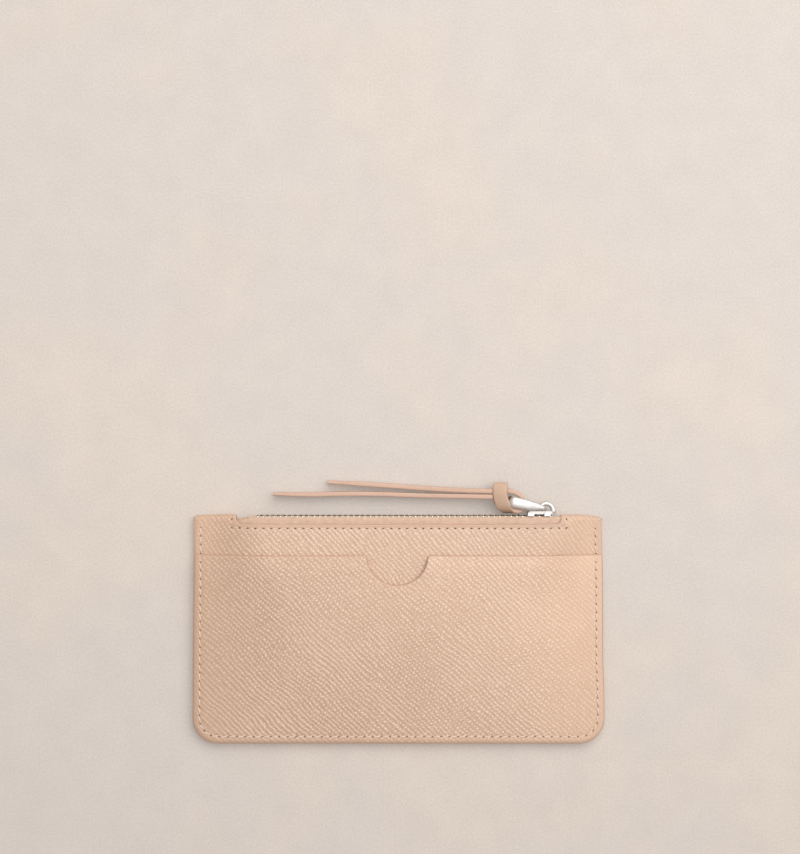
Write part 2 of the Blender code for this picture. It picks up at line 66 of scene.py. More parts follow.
# Sizes that the CAD model has too
SHELL_HIGH = box("outer_shell")[1]
HALF_WIDTH = SHELL_HIGH.x
HALF_HEIGHT = SHELL_HIGH.y
HEIGHT = 2 * HALF_HEIGHT
ZIP_THICKNESS = SHELL_HIGH.z
MID_Z = ZIP_THICKNESS / 2
LEATHER = 1.1
LINING = 0.35
GAP = 0.15
LAYER_GAP = 0.3
SEAM_INSET = 2.4
SEAM_MARGIN = 3.0
SEAM_THICKNESS = 2 * LEATHER + 2 * LINING + 4 * GAP
LEFT_RISE_TOP = 22  # gentler than in the CAD model, where both are 12 mm
RIGHT_RISE_TOP = 16
SIDE_RISE_LOW = 34
RISE_GROWS_FROM = 37
RISE_GROWS_OVER = 32
BOTTOM_CORNER = 9.0
TOP_CORNER = 1.0
POCKET_TOP = box("card_pocket")[1].y
WINDOW_HALF = 59.2
WINDOW_EDGE = 38.3
WINDOW_CORNER = 2
FOLD_DEPTH = 0.4  # the fold's depth, as a share of the shell's thickness there
CHAIN_MID_Y = 41.0
JOINTS = {joint["name"]: joint for joint in frame["joints"]}
PULL_PIN = Vector(JOINTS["pull_swing"]["pos_m"]) / MM
LACE_BAR = Vector(JOINTS["lace_swing"]["pos_m"]) / MM


# ---------------------------------------------------------------- objects, camera and view

CAMERA_PLACE = (0.55 * MM, 73.9 * MM, 740.4 * MM)


def add_object(name, data):
    obj = bpy.data.objects.new(name, data)
    bpy.context.scene.collection.objects.link(obj)
    return obj


def add_mesh(name, bm, material):
    """An object from bm, which is in millimetres and is freed."""
    bmesh.ops.scale(bm, vec=(MM, MM, MM), verts=bm.verts)
    mesh = bpy.data.meshes.new(name)
    bm.to_mesh(mesh)
    bm.free()
    mesh.materials.append(material)
    return add_object(name, mesh)


def make_camera():
    data = bpy.data.cameras.new("camera")
    data.lens = 85
    data.sensor_width = 36
    data.sensor_fit = "AUTO"
    camera = add_object("camera", data)
    camera.location = CAMERA_PLACE
    bpy.context.scene.camera = camera


make_camera()
bpy.context.scene.view_settings.view_transform = "Standard"
bpy.context.scene.view_settings.look = "None"


# ---------------------------------------------------------------- shader helpers

def new_material(name, colour, roughness, metallic=0.0):
    material = bpy.data.materials.new(name)
    material.use_nodes = True
    tree = material.node_tree
    shader = tree.nodes["Principled BSDF"]
    shader.inputs["Base Color"].default_value = (*colour, 1)
    shader.inputs["Roughness"].default_value = roughness
    shader.inputs["Metallic"].default_value = metallic
    return material, tree, shader


def node(tree, kind, settings=None, **inputs):
    """A node with its settings, and inputs that are values or another node's output."""
    made = tree.nodes.new(kind)
    for key, value in (settings or {}).items():
        setattr(made, key, value)
    for key, value in inputs.items():
        socket = made.inputs[int(key[1:]) if key[0] == "i" and key[1:].isdigit() else key]
        if isinstance(value, bpy.types.NodeSocket):
            tree.links.new(value, socket)
        else:
            socket.default_value = value
    return made


def maths(tree, operation, a, b=0.0, third=0.0):
    return node(tree, "ShaderNodeMath", {"operation": operation}, i0=a, i1=b, i2=third).outputs[0]


def add(tree, a, b):
    return maths(tree, "ADD", a, b)


def times(tree, a, b):
    return maths(tree, "MULTIPLY", a, b)


def vector_maths(tree, operation, a, b=(0, 0, 0)):
    return node(tree, "ShaderNodeVectorMath", {"operation": operation}, i0=a, i1=b).outputs[0]


def scaled(tree, vector, scale):
    return node(tree, "ShaderNodeVectorMath", {"operation": "SCALE"}, i0=vector,
                Scale=scale).outputs[0]


def remap(tree, value, low, high, to_low=0.0, to_high=1.0, smooth=False):
    kind = "SMOOTHSTEP" if smooth else "LINEAR"
    return node(tree, "ShaderNodeMapRange", {"interpolation_type": kind}, i0=value, i1=low,
                i2=high, i3=to_low, i4=to_high).outputs[0]


def spread(tree, noisy, low, high):
    """A noise's usual range, 0.3 to 0.7, taken to low and high."""
    return remap(tree, noisy, 0.3, 0.7, low, high)


def mix_colour(tree, share, first, second):
    made = node(tree, "ShaderNodeMix", {"data_type": "RGBA"})
    for index, value in ((0, share), (6, first), (7, second)):
        if isinstance(value, bpy.types.NodeSocket):
            tree.links.new(value, made.inputs[index])
        else:
            made.inputs[index].default_value = value if index == 0 else (*value, 1)
    return made.outputs[2]


def mapped(tree, vector, scale=(1, 1, 1), turn=(0, 0, 0)):
    return node(tree, "ShaderNodeMapping", Vector=vector, Rotation=turn, Scale=scale).outputs[0]


def turned(tree, vector, degrees):
    return mapped(tree, vector, turn=(0, 0, radians(degrees)))


def uv_mm(tree):
    """The surface's own coordinates in millimetres."""
    place = node(tree, "ShaderNodeUVMap", {"uv_map": "UVMap"}).outputs[0]
    return mapped(tree, place, (1000, 1000, 1000))


def object_mm(tree):
    place = node(tree, "ShaderNodeTexCoord").outputs["Object"]
    return mapped(tree, place, (1000, 1000, 1000))


def parts(tree, vector):
    return node(tree, "ShaderNodeSeparateXYZ", Vector=vector).outputs


def noise(tree, vector, scale, detail=2.0, rough=0.5):
    return node(tree, "ShaderNodeTexNoise", {"noise_dimensions": "3D"}, Vector=vector,
                Scale=scale, Detail=detail, Roughness=rough).outputs


def bands(tree, vector, scale, distortion):
    settings = {"wave_type": "BANDS", "bands_direction": "X", "wave_profile": "SIN"}
    return node(tree, "ShaderNodeTexWave", settings, Vector=vector, Scale=scale,
                Distortion=distortion).outputs["Fac"]


def bump(tree, shader, height, distance, strength=1.0):
    made = node(tree, "ShaderNodeBump", Height=height, Distance=distance, Strength=strength)
    tree.links.new(made.outputs[0], shader.inputs["Normal"])


def tint(tree, shader, colour, shade):
    tree.links.new(scaled(tree, colour, shade), shader.inputs["Base Color"])


# ---------------------------------------------------------------- materials

def off_centre(tree, colour):
    """A noise's colour as a vector about zero."""
    return vector_maths(tree, "SUBTRACT", colour, (0.5, 0.5, 0.5))


def wave(tree, value):
    """One hump between each two whole numbers, from 0 to 1."""
    turn = times(tree, value, 2 * pi)
    return maths(tree, "MULTIPLY_ADD", maths(tree, "COSINE", turn), -0.5, third=0.5)


def grained_leather(name, angle, beads, painted_light_tone):
    """Palm-grained leather: thin ridges at this angle, beaded along their length.

    The last argument is painted light: the piece's brightness at its middle, and how it changes
    per mm across and up.
    """
    material, tree, shader = new_material(name, LEATHER_FLAT, 0.5)
    flat = uv_mm(tree)
    wander = off_centre(tree, noise(tree, flat, 0.05, 1.0)["Color"])
    waver = off_centre(tree, noise(tree, flat, 0.4, 1.0)["Color"])
    moved = vector_maths(tree, "ADD", flat, scaled(tree, wander, 4.0))
    moved = vector_maths(tree, "ADD", moved, scaled(tree, waver, 1.0))
    slanted = turned(tree, moved, angle)
    along_ridge, across_ridges = parts(tree, slanted)[:2]
    rows = maths(tree, "DIVIDE", across_ridges, RIDGE_PITCH)
    row = maths(tree, "FLOOR", rows)
    crest = maths(tree, "POWER", wave(tree, rows), RIDGE_SHARPNESS)
    chance = node(tree, "ShaderNodeTexWhiteNoise", {"noise_dimensions": "1D"}, W=row).outputs[0]
    along = maths(tree, "DIVIDE", along_ridge, BEAD_PITCH)
    along = add(tree, along, times(tree, row, 0.5))
    along = add(tree, along, times(tree, chance, 0.35))
    place = node(tree, "ShaderNodeCombineXYZ", i0=row, i1=maths(tree, "FLOOR", along))
    size = node(tree, "ShaderNodeTexWhiteNoise", {"noise_dimensions": "2D"},
                Vector=place.outputs[0]).outputs[0]
    bead = maths(tree, "POWER", wave(tree, along), BEAD_SHARPNESS)
    bead = times(tree, bead, remap(tree, size, 0, 1, 0.55, 1.35))
    x, y = parts(tree, object_mm(tree))[:2]
    corner = times(tree, remap(tree, x, -70, 5, 1, 0), remap(tree, y, -38, 8, 1, 0))
    region = remap(tree, noise(tree, flat, 0.045, 1.0)[0], 0.35, 0.65, beads - 0.2, beads + 0.2)
    region = maths(tree, "SUBTRACT", region, times(tree, corner, 0.65))
    plain = times(tree, maths(tree, "SUBTRACT", 1.0, region), 0.8)
    profile = maths(tree, "MULTIPLY_ADD", bead, region, third=plain)
    height = times(tree, crest, profile)
    cells = node(tree, "ShaderNodeTexVoronoi", {"voronoi_dimensions": "2D", "feature": "F1"},
                 Vector=mapped(tree, slanted, PEBBLE_SCALE), Scale=1.0,
                 Randomness=0.8).outputs["Distance"]
    pebble = remap(tree, cells, 0.1, 0.75, 1.0, 0.0, smooth=True)
    height = add(tree, times(tree, height, 0.85), times(tree, pebble, 0.22))
    fine = noise(tree, flat, 1.5, 3.0, 0.7)[0]
    creases = noise(tree, mapped(tree, slanted, (0.35, 1.3, 1)), 1.0, 2.0)[0]
    height = add(tree, height, spread(tree, fine, -0.26, 0.26))
    height = add(tree, height, spread(tree, creases, -0.12, 0.12))
    calm, rubbed_and_shaded = parts(tree, node(tree, "ShaderNodeUVMap", {"uv_map": "Calm"}).outputs[0])[:2]
    height = times(tree, height, maths(tree, "SUBTRACT", 1.0, calm))
    fade = remap(tree, maths(tree, "ABSOLUTE", x), 48, 74, 1.0, 0.5)
    height = times(tree, height, fade)
    patches = spread(tree, noise(tree, flat, 0.03, 2.0)[0], -0.2, 0.2)
    # Painted light: towards the right and up the colour is painted further towards LEATHER_WARM,
    # on top of the random patches.
    painted_light_slope = add(tree, remap(tree, x, -75, 75, 0.0, 1.0), remap(tree, y, -40, 40, -0.4, 0.35))
    share = remap(tree, add(tree, patches, painted_light_slope), 0, 1)
    base = mix_colour(tree, share, LEATHER_FLAT, LEATHER_WARM)
    # Painted highlight: the grain's crests are painted towards a light colour, and the flats
    # between them stay darker as painted shade.
    base = mix_colour(tree, remap(tree, height, 0.05, 0.95), base, LEATHER_PAINTED_CREST_HIGHLIGHT)
    # Painted light: the smooth margins are painted paler towards the right, where the light falls.
    pale = remap(tree, x, 20, 75, 0.0, 1.0)
    smooth = mix_colour(tree, pale, LEATHER_SMOOTH, LEATHER_SMOOTH_PAINTED_LIGHT)
    base = mix_colour(tree, calm, base, smooth)
    # Edges are painted darker, partly as wear and partly as painted shade along the edges.
    base = mix_colour(tree, rubbed_and_shaded, base, LEATHER_RUBBED_AND_SHADED)
    # Painted light: the whole colour is scaled brighter or darker across and up, as the light
    # falls.
    middle, across, up = painted_light_tone
    shade = maths(tree, "MULTIPLY_ADD", x, across, third=middle)
    shade = maths(tree, "MULTIPLY_ADD", y, up, third=shade)
    tint(tree, shader, base, shade)
    rough = remap(tree, height, 0.1, 0.8, 0.58, 0.40)
    tree.links.new(rough, shader.inputs["Roughness"])
    bump(tree, shader, height, GRAIN_RELIEF)
    return material


def plain_leather(name, colour, roughness, scale, depth):
    """Smooth leather, as on the lace, the painted edges and the flesh side."""
    material, tree, shader = new_material(name, colour, roughness)
    place = object_mm(tree)
    fine = noise(tree, place, scale, 4.0, 0.6)[0]
    broad = noise(tree, place, 0.12, 2.0)[0]
    shade = add(tree, spread(tree, fine, -0.05, 0.04), spread(tree, broad, 0.97, 1.03))
    tint(tree, shader, colour, shade)
    tree.links.new(spread(tree, fine, roughness + 0.07, roughness - 0.07),
                   shader.inputs["Roughness"])
    bump(tree, shader, fine, depth, 0.6)
    return material


def woven(name, colour, pitch, depth, sheen):
    """A twill weave along the surface's own coordinates, with its hollows painted darker as
    painted shade.
    """
    material, tree, shader = new_material(name, colour, 0.85)
    shader.inputs["Sheen Weight"].default_value = sheen
    flat = mapped(tree, uv_mm(tree), (1 / pitch, 1 / pitch, 1))
    warp = bands(tree, flat, 0.5, 0.0)
    twill = bands(tree, turned(tree, flat, 45), 0.5, 0.6)
    fuzz = noise(tree, flat, 2.5, 3.0, 0.65)[0]
    height = add(tree, times(tree, warp, 0.45), times(tree, twill, 0.75))
    height = add(tree, height, times(tree, fuzz, 0.5))
    patch = noise(tree, uv_mm(tree), 0.5, 3.0, 0.6)[0]
    # Painted shade: the weave's low places are painted darker; the patches vary the colour at
    # random.
    shade = add(tree, remap(tree, height, 0.3, 1.4, 0.74, 1.06), spread(tree, patch, -0.09, 0.09))
    tint(tree, shader, colour, shade)
    bump(tree, shader, height, depth, 0.8)
    return material


def polished_metal(name, colour, roughness, painted_shade_from=None):
    """Plated metal; the last argument is the Y, in mm, above which the chain is painted dark as
    painted shade.
    """
    material, tree, shader = new_material(name, colour, roughness, 1.0)
    place = object_mm(tree)
    smear = noise(tree, place, 0.9, 4.0, 0.6)[0]
    scratch = noise(tree, mapped(tree, place, (0.5, 7.0, 7.0), (0.3, 0.2, 0.6)), 1.6, 2.0)[0]
    tree.links.new(remap(tree, smear, 0.35, 0.7, roughness, roughness + 0.12),
                   shader.inputs["Roughness"])
    base = scaled(tree, colour, spread(tree, smear, 0.93, 1.0))
    # Painted shade: above the given Y the metal is painted dark.
    if painted_shade_from:
        high = parts(tree, place)[1]
        share = remap(tree, high, painted_shade_from, painted_shade_from + 0.2)
        base = mix_colour(tree, share, base, TEETH_PAINTED_SHADE_COLOUR)
    tree.links.new(base, shader.inputs["Base Color"])
    height = add(tree, times(tree, smear, 0.6), times(tree, scratch, 0.4))
    bump(tree, shader, height, 0.00002, 0.25)
    return material


def thread_material():
    """Waxed thread: two plies that wind round each other, with the grooves between them painted
    darker as painted shade.
    """
    material, tree, shader = new_material("thread", THREAD_COLOUR, 0.55)
    shader.inputs["Sheen Weight"].default_value = 0.2
    plies = bands(tree, turned(tree, uv_mm(tree), 50), 0.8, 0.4)
    tint(tree, shader, THREAD_COLOUR, remap(tree, plies, 0.0, 1.0, 0.8, 1.06))
    bump(tree, shader, plies, 0.00008, 0.7)
    return material


# Painted shade: a flat dark disc standing for the shade inside a needle hole.
def hole_shade_material(name, colour):
    material, tree, shader = new_material(name, colour, 0.9)
    fine = noise(tree, object_mm(tree), 6.0, 2.0)[0]
    tint(tree, shader, colour, spread(tree, fine, 0.7, 1.2))
    return material


def ground_material():
    """A pale sheet with a fine tooth and warm patches, painted darker towards the bottom as
    painted light falloff. It glows with its own painted light, which softens shadows.
    """
    material, tree, shader = new_material("pale_ground", GROUND_COOL, 0.85)
    place = object_mm(tree)
    clouds = noise(tree, place, 0.009, 4.0, 0.6)[0]
    base = mix_colour(tree, remap(tree, clouds, 0.42, 0.66, smooth=True), GROUND_COOL, GROUND_WARM)
    small = noise(tree, place, 0.07, 4.0, 0.65)[0]
    tooth = noise(tree, place, 1.3, 3.0, 0.7)[0]
    shade = add(tree, spread(tree, small, 0.975, 1.025), spread(tree, tooth, -0.08, 0.08))
    depth = parts(tree, place)[1]
    # Painted light: the ground is painted darker towards the bottom, away from the lights.
    shade = times(tree, shade, remap(tree, depth, -70, 90, 0.955, 1.01))
    lit = scaled(tree, base, shade)
    tint(tree, shader, lit, 1 - GROUND_GLOW)
    tree.links.new(lit, shader.inputs["Emission Color"])
    shader.inputs["Emission Strength"].default_value = GROUND_GLOW * STUDIO_BRIGHTNESS
    bump(tree, shader, tooth, 0.00025, 0.15)
    return material


RIDGE_PITCH = 1.58  # mm, from one ridge of the grain to the next
RIDGE_SHARPNESS = 1.8
BEAD_PITCH = 1.32  # mm, along a ridge
BEAD_SHARPNESS = 1.1
PEBBLE_SCALE = (1.0, 1.15, 1)  # per mm, along the ridges and across them
GRAIN_RELIEF = 0.00017
LEATHER_FLAT = (0.530, 0.350, 0.237)
LEATHER_WARM = (0.635, 0.430, 0.302)
# Painted highlight on the grain's crests
LEATHER_PAINTED_CREST_HIGHLIGHT = (0.83, 0.64, 0.50)
LEATHER_SMOOTH = (0.605, 0.408, 0.285)
# Painted light on the smooth margin's right side
LEATHER_SMOOTH_PAINTED_LIGHT = (0.617, 0.44, 0.33)
# Partly worn edge, partly painted shade along edges
LEATHER_RUBBED_AND_SHADED = (0.57, 0.36, 0.26)
LACE_COLOUR = (0.635, 0.445, 0.32)
LACE_EDGE_COLOUR = (0.62, 0.415, 0.315)
EDGE_COLOUR = (0.52, 0.33, 0.24)
FLESH_COLOUR = (0.62, 0.45, 0.33)
TAPE_COLOUR = (0.78, 0.55, 0.41)
LINING_COLOUR = (0.62, 0.49, 0.38)
THREAD_COLOUR = (0.86, 0.66, 0.54)
# The next two are painted shade, the dark inside the needle holes.
HOLE_PAINTED_SHADE_COLOUR = (0.17, 0.09, 0.055)
SEAM_HOLE_PAINTED_SHADE_COLOUR = (0.27, 0.145, 0.09)
# Painted shade on the chain's far side
TEETH_PAINTED_SHADE_COLOUR = (0.15, 0.11, 0.07)
METAL_COLOUR = (0.74, 0.715, 0.69)
TEETH_COLOUR = (0.70, 0.65, 0.55)
GROUND_WARM = (0.668, 0.593, 0.528)
GROUND_COOL = (0.640, 0.586, 0.540)
GROUND_GLOW = 0.25  # the share of the ground's brightness that is its own
STUDIO_BRIGHTNESS = 1.10  # what the lights give a flat surface, per unit of its colour

# The last three numbers are painted light: each piece's brightness at its middle and its slope per
# mm across and up.
leather_pocket = grained_leather("grained_leather_pocket", 44, 0.82, (1.012, 0.00062, 0.0007))
leather_shell = grained_leather("grained_leather_shell", 50, 0.6, (1.01, -0.0005, 0.0))
lace_leather = plain_leather("lace_leather", LACE_COLOUR, 0.5, 1.6, 0.00006)
lace_edge = plain_leather("lace_cut_edge", LACE_EDGE_COLOUR, 0.55, 1.2, 0.00004)
edge_paint = plain_leather("edge_paint", EDGE_COLOUR, 0.42, 1.1, 0.00003)
flesh = plain_leather("leather_flesh_side", FLESH_COLOUR, 0.9, 2.5, 0.0002)
tape_weave = woven("zip_tape_weave", TAPE_COLOUR, 0.55, 0.00012, 0.3)
lining_weave = woven("lining_weave", LINING_COLOUR, 0.45, 0.00008, 0.2)
thread = thread_material()
needle_hole_shade = hole_shade_material("needle_hole_shade", HOLE_PAINTED_SHADE_COLOUR)
seam_hole_shade = hole_shade_material("seam_hole_shade", SEAM_HOLE_PAINTED_SHADE_COLOUR)
nickel = polished_metal("polished_nickel", METAL_COLOUR, 0.44)
# Above Y 41.4 mm this metal is painted dark as painted shade.
nickel_teeth = polished_metal("teeth_nickel", TEETH_COLOUR, 0.36, 41.4)


# ---------------------------------------------------------------- mesh helpers

def make_object(name, points, faces, materials, uvs=None, face_materials=None, sharp=40,
                calm=None):
    """A piece from its points and faces; uvs has one place per point, and calm two shares:
    how smooth the grain is there, and how far the leather is painted darker, as wear and painted
    shade."""
    mesh = bpy.data.meshes.new(name)
    mesh.from_pydata((np.asarray(points) * MM).tolist(), [], faces)
    for material in materials:
        mesh.materials.append(material)
    if face_materials is not None:
        mesh.polygons.foreach_set("material_index", np.asarray(face_materials, np.int32))
    if uvs is not None:
        corner = np.zeros(len(mesh.loops), np.int32)
        mesh.loops.foreach_get("vertex_index", corner)
        layer = mesh.uv_layers.new(name="UVMap")
        layer.data.foreach_set("uv", (np.asarray(uvs) * MM)[corner].ravel())
        if calm is not None:
            layer = mesh.uv_layers.new(name="Calm")
            layer.data.foreach_set("uv", np.asarray(calm, np.float32)[corner].ravel())
    mesh.validate()
    mesh.shade_smooth()
    if sharp:
        mesh.set_sharp_from_angle(angle=radians(sharp))
    return add_object(name, mesh)


def finish_piece(obj, body, slot, *nodes):
    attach(obj, body)
    if nodes:
        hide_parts(*nodes)


def turn_outward(mesh):
    """Turns each face of the mesh's closed bodies outward."""
    bm = bmesh.new()
    bm.from_mesh(mesh)
    bmesh.ops.recalc_face_normals(bm, faces=bm.faces)
    bm.to_mesh(mesh)
    bm.free()


def unit(vectors):
    return vectors / np.linalg.norm(vectors, axis=1, keepdims=True)


def run_along(points):
    """The length of the path from its first point to each one."""
    return np.concatenate([[0], np.cumsum(np.linalg.norm(np.diff(points, axis=0), axis=1))])


def run_down(y, z):
    """The length down each column of a grid, from its first row to each one."""
    steps = np.hypot(np.diff(y, axis=1), np.diff(z, axis=1))
    return np.concatenate([np.zeros((len(y), 1)), np.cumsum(steps, axis=1)], axis=1)


def evenly(path, step, rounding, least=1):
    """Points along a flat path, at the nearest even spacing to step."""
    run = run_along(path)
    at = np.linspace(0, run[-1], max(least, rounding(run[-1] / step)) + 1)
    return np.stack([np.interp(at, run, path[:, 0]), np.interp(at, run, path[:, 1])], 1)


def grid_normals(grid, row):
    """A grid's unit normals, which face +Z on this row of its middle column."""
    normal = np.cross(np.gradient(grid, axis=0), np.gradient(grid, axis=1))
    normal = normal / np.maximum(np.linalg.norm(normal, axis=2, keepdims=True), 1e-12)
    return -normal if normal[len(grid) // 2, row, 2] < 0 else normal


def ring_faces(around, rings, closed=False, base=0):
    """Faces over rings of points, from point base on, and over both ends unless closed."""
    faces = []
    for i in range(rings if closed else rings - 1):
        here, there = base + i * around, base + (i + 1) % rings * around
        for k in range(around):
            l = (k + 1) % around
            faces.append([here + k, here + l, there + l, there + k])
    if not closed:
        faces.append([base + k for k in range(around)][::-1])
        faces.append([base + (rings - 1) * around + k for k in range(around)])
    return faces


def slab(name, outer, inner, uv, materials, mask=None, bulge=0.15, rings=3,
         shoulder=0.16, calm=None):
    """A closed sheet between two grids, with a rounded rim round its border and its openings.
    materials are those of the outer side, the inner side and the rim."""
    nx, ny = outer.shape[:2]
    if mask is None:
        mask = np.ones((nx - 1, ny - 1), bool)
    padded = np.pad(mask, 1)
    corner_count = sum(padded[a:a + nx, b:b + ny].astype(int) for a in (0, 1) for b in (0, 1))
    used = corner_count > 0
    border = used & (corner_count < 4)
    thick = outer - inner
    length = np.maximum(np.linalg.norm(thick, axis=2, keepdims=True), 1e-12)
    up = thick / length
    near = np.pad(border, 1)
    near = (near[:-2, 1:-1] | near[2:, 1:-1] | near[1:-1, :-2] | near[1:-1, 2:]) & used & ~border
    outer = outer - up * (border[..., None] * shoulder + near[..., None] * shoulder * 0.3)
    inner = inner + up * border[..., None] * shoulder * 0.5
    cells = np.argwhere(mask)
    i, j = cells[len(cells) // 2]
    a, b, d = outer[i, j], outer[i + 1, j], outer[i, j + 1]
    facing = np.dot(np.cross(b - a, d - a), up[i, j]) > 0
    index = np.full((nx, ny), -1)
    index[used] = np.arange(used.sum())
    count = int(used.sum())
    points = [outer[used], inner[used]]
    uvs = [uv[used], uv[used]]
    i, j = cells[:, 0], cells[:, 1]
    quads = np.stack([index[i, j], index[i + 1, j], index[i + 1, j + 1], index[i, j + 1]], 1)
    if not facing:
        quads = quads[:, ::-1]
    faces = quads.tolist() + (quads[:, ::-1] + count).tolist()
    kinds = [0] * len(quads) + [1] * len(quads)
    ends = np.concatenate([quads[:, [0, 1]], quads[:, [1, 2]], quads[:, [2, 3]], quads[:, [3, 0]]])
    keys = {(int(p), int(q)) for p, q in ends}
    rim_edges = [(p, q) for p, q in sorted(keys) if (q, p) not in keys]
    flat_outer, flat_inner, flat_up = outer[used], inner[used], up[used]
    outward = {}
    for p, q in rim_edges:
        direction = np.cross(flat_outer[q] - flat_outer[p], flat_up[p])
        for v in (p, q):
            outward[v] = outward.get(v, 0) + direction
    order = sorted(outward)
    start = 2 * count
    rim_index = {v: start + k * rings for k, v in enumerate(order)}
    extra, extra_uv = [], []
    for v in order:
        away = outward[v] / max(np.linalg.norm(outward[v]), 1e-12)
        for k in range(rings):
            t = (k + 1) / (rings + 1)
            extra.append(flat_outer[v] * (1 - t) + flat_inner[v] * t
                         + away * bulge * sin(pi * t) ** 0.7)
            extra_uv.append(uv[used][v])
    points += [np.array(extra)]
    uvs += [np.array(extra_uv)]
    if calm is not None:
        calm = np.concatenate([calm[used], calm[used], np.zeros((len(extra), 2))])
    for p, q in rim_edges:
        left = [p, *range(rim_index[p], rim_index[p] + rings), p + count]
        right = [q, *range(rim_index[q], rim_index[q] + rings), q + count]
        for k in range(rings + 1):
            faces.append([left[k], left[k + 1], right[k + 1], right[k]])
            kinds.append(2)
    return make_object(name, np.concatenate(points), faces, materials, np.concatenate(uvs),
                       kinds, sharp=0, calm=calm)


def loft(name, rings, materials, uvs=None, closed=False, sharp=40, sides=None):
    """A body through rings of points, an array of rings x points x 3. sides says which
    material each side of the ring takes."""
    rings = np.asarray(rings, float)
    count, around = rings.shape[:2]
    faces = ring_faces(around, count, closed)
    kinds = list(sides or [0] * around) * (count if closed else count - 1)
    if not closed:
        kinds += [len(materials) - 1] * 2
    if uvs is None:
        uvs = np.stack(np.meshgrid(run_along(rings.mean(1)), run_along(rings[0]),
                                   indexing="ij"), 2)
    obj = make_object(name, rings.reshape(-1, 3), faces, materials,
                      np.asarray(uvs).reshape(-1, 2), kinds, sharp=0)
    turn_outward(obj.data)
    if sharp:
        obj.data.set_sharp_from_angle(angle=radians(sharp))
    return obj


def curve_through(points, steps):
    """Catmull-Rom points through rows of numbers."""
    points = np.asarray(points, float)
    padded = np.concatenate([[2 * points[0] - points[1]], points, [2 * points[-1] - points[-2]]])
    made = []
    for k in range(len(points) - 1):
        a, b, c, d = padded[k:k + 4]
        for t in np.arange(steps) / steps:
            made.append(0.5 * (2 * b + (c - a) * t + (2 * a - 5 * b + 4 * c - d) * t * t
                               + (3 * b - a - 3 * c + d) * t ** 3))
    made.append(points[-1])
    return np.array(made)


def rounded_section(width, thickness, radius, steps=3):
    """A rounded rectangle's outline, as (across, up) pairs."""
    outline = []
    for sx, sy, start in ((1, 1, 0), (-1, 1, 90), (-1, -1, 180), (1, -1, 270)):
        for k in range(steps + 1):
            angle = radians(start + 90 * k / steps)
            outline.append((sx * (width / 2 - radius) + radius * cos(angle),
                            sy * (thickness / 2 - radius) + radius * sin(angle)))
    return outline


def ribbon(name, centre, wide, section, materials, thickness=None):
    """A strip along centre whose width lies along wide; section is (across, up) pairs, and
    thickness scales the strip's thickness along it. The first material is for its two faces,
    and the second for its cut edges."""
    tangent = unit(np.gradient(centre, axis=0))
    wide = unit(wide - tangent * (wide * tangent).sum(1, keepdims=True))
    thin = np.cross(tangent, wide)
    if thickness is not None:
        thin = thin * np.asarray(thickness)[:, None]
    section = np.asarray(section)
    rings = (centre[:, None] + wide[:, None] * section[None, :, :1]
             + thin[:, None] * section[None, :, 1:])
    steps = len(section) // 4
    sides = [0 if k in (steps - 1, 3 * steps - 1) else 1 for k in range(len(section))]
    return loft(name, rings, materials, sharp=50, sides=sides)


# ---------------------------------------------------------------- form of the pouch

def smoothstep(t):
    t = np.clip(t, 0.0, 1.0)
    return t * t * (3 - 2 * t)


def hump(off, reach):
    """1 where off is 0, and almost 0 from twice the reach on."""
    return np.exp(-(off / reach) ** 2)


def front_z(x, y):
    """Height of the shell's front face, as in the CAD model."""
    from_side = HALF_WIDTH - np.abs(x) - SEAM_MARGIN
    from_bottom = y + HALF_HEIGHT - SEAM_MARGIN
    lower = smoothstep((RISE_GROWS_FROM - y) / RISE_GROWS_OVER)
    rise_top = np.where(np.asarray(x) < 0, LEFT_RISE_TOP, RIGHT_RISE_TOP)
    across = smoothstep(from_side / (rise_top + (SIDE_RISE_LOW - rise_top) * lower))
    share = np.clip(from_bottom / (HEIGHT - SEAM_MARGIN), 0.0, 1.0)
    return SEAM_THICKNESS + (ZIP_THICKNESS - SEAM_THICKNESS) * across * np.sin(pi / 2 * share)


def bottom_y(x):
    """The bottom edge, with its round corners."""
    over = np.maximum(np.abs(x) - (HALF_WIDTH - BOTTOM_CORNER), 0.0)
    return -HALF_HEIGHT + BOTTOM_CORNER - np.sqrt(np.maximum(BOTTOM_CORNER ** 2 - over ** 2, 0))


def edge_distance(x, y):
    """How far inside the sides and the bottom a point is."""
    out_x = np.abs(x) - (HALF_WIDTH - BOTTOM_CORNER)
    out_y = -y - (HALF_HEIGHT - BOTTOM_CORNER)
    corner = BOTTOM_CORNER - np.hypot(np.maximum(out_x, 0), np.maximum(out_y, 0))
    straight = np.minimum(HALF_WIDTH - np.abs(x), y + HALF_HEIGHT)
    return np.where((out_x > 0) & (out_y > 0), corner, straight)


def set_by_hand(x, y):
    """Small departures from a true rectangle, as in a sewn pouch: returns the moved x and y."""
    right = smoothstep((x - 56) / 16)
    high = smoothstep((y - 8) / 34)
    low = smoothstep((-8 - y) / 20)
    x = x + right * (-0.33 - 0.39 * high + 0.50 * low)
    left = smoothstep((-x - 56) / 16)
    x = x + left * (0.11 + 0.007 * np.minimum(y, 27))
    top = smoothstep((y - 30) / 11)
    bow = 0.15 * hump(x - 60, 7) + 0.25 * hump(x + 61, 6)
    y = y + top * (0.32 + bow - 0.85 * smoothstep((x - 66) / 9) - 0.3 * smoothstep((-x - 66) / 9))
    return x, y


GRID_STEP = 0.42
SEAM_PITCH = 3.1
SEAM_STITCHED_TO = 37.5
ZIP_PITCH = 2.87
ZIP_STITCH_Y = 36.9
ZIP_STITCH_MIDDLE = 0.3
ZIP_STITCH_HALF = 60.9
FAR = 9000  # from any stitch
BACK_RECESS = 0.42  # how deep the back stitches lie
SKIVE = 6  # the pocket's top edge is pared over this width
POCKET_EDGE_THICKNESS = 0.75


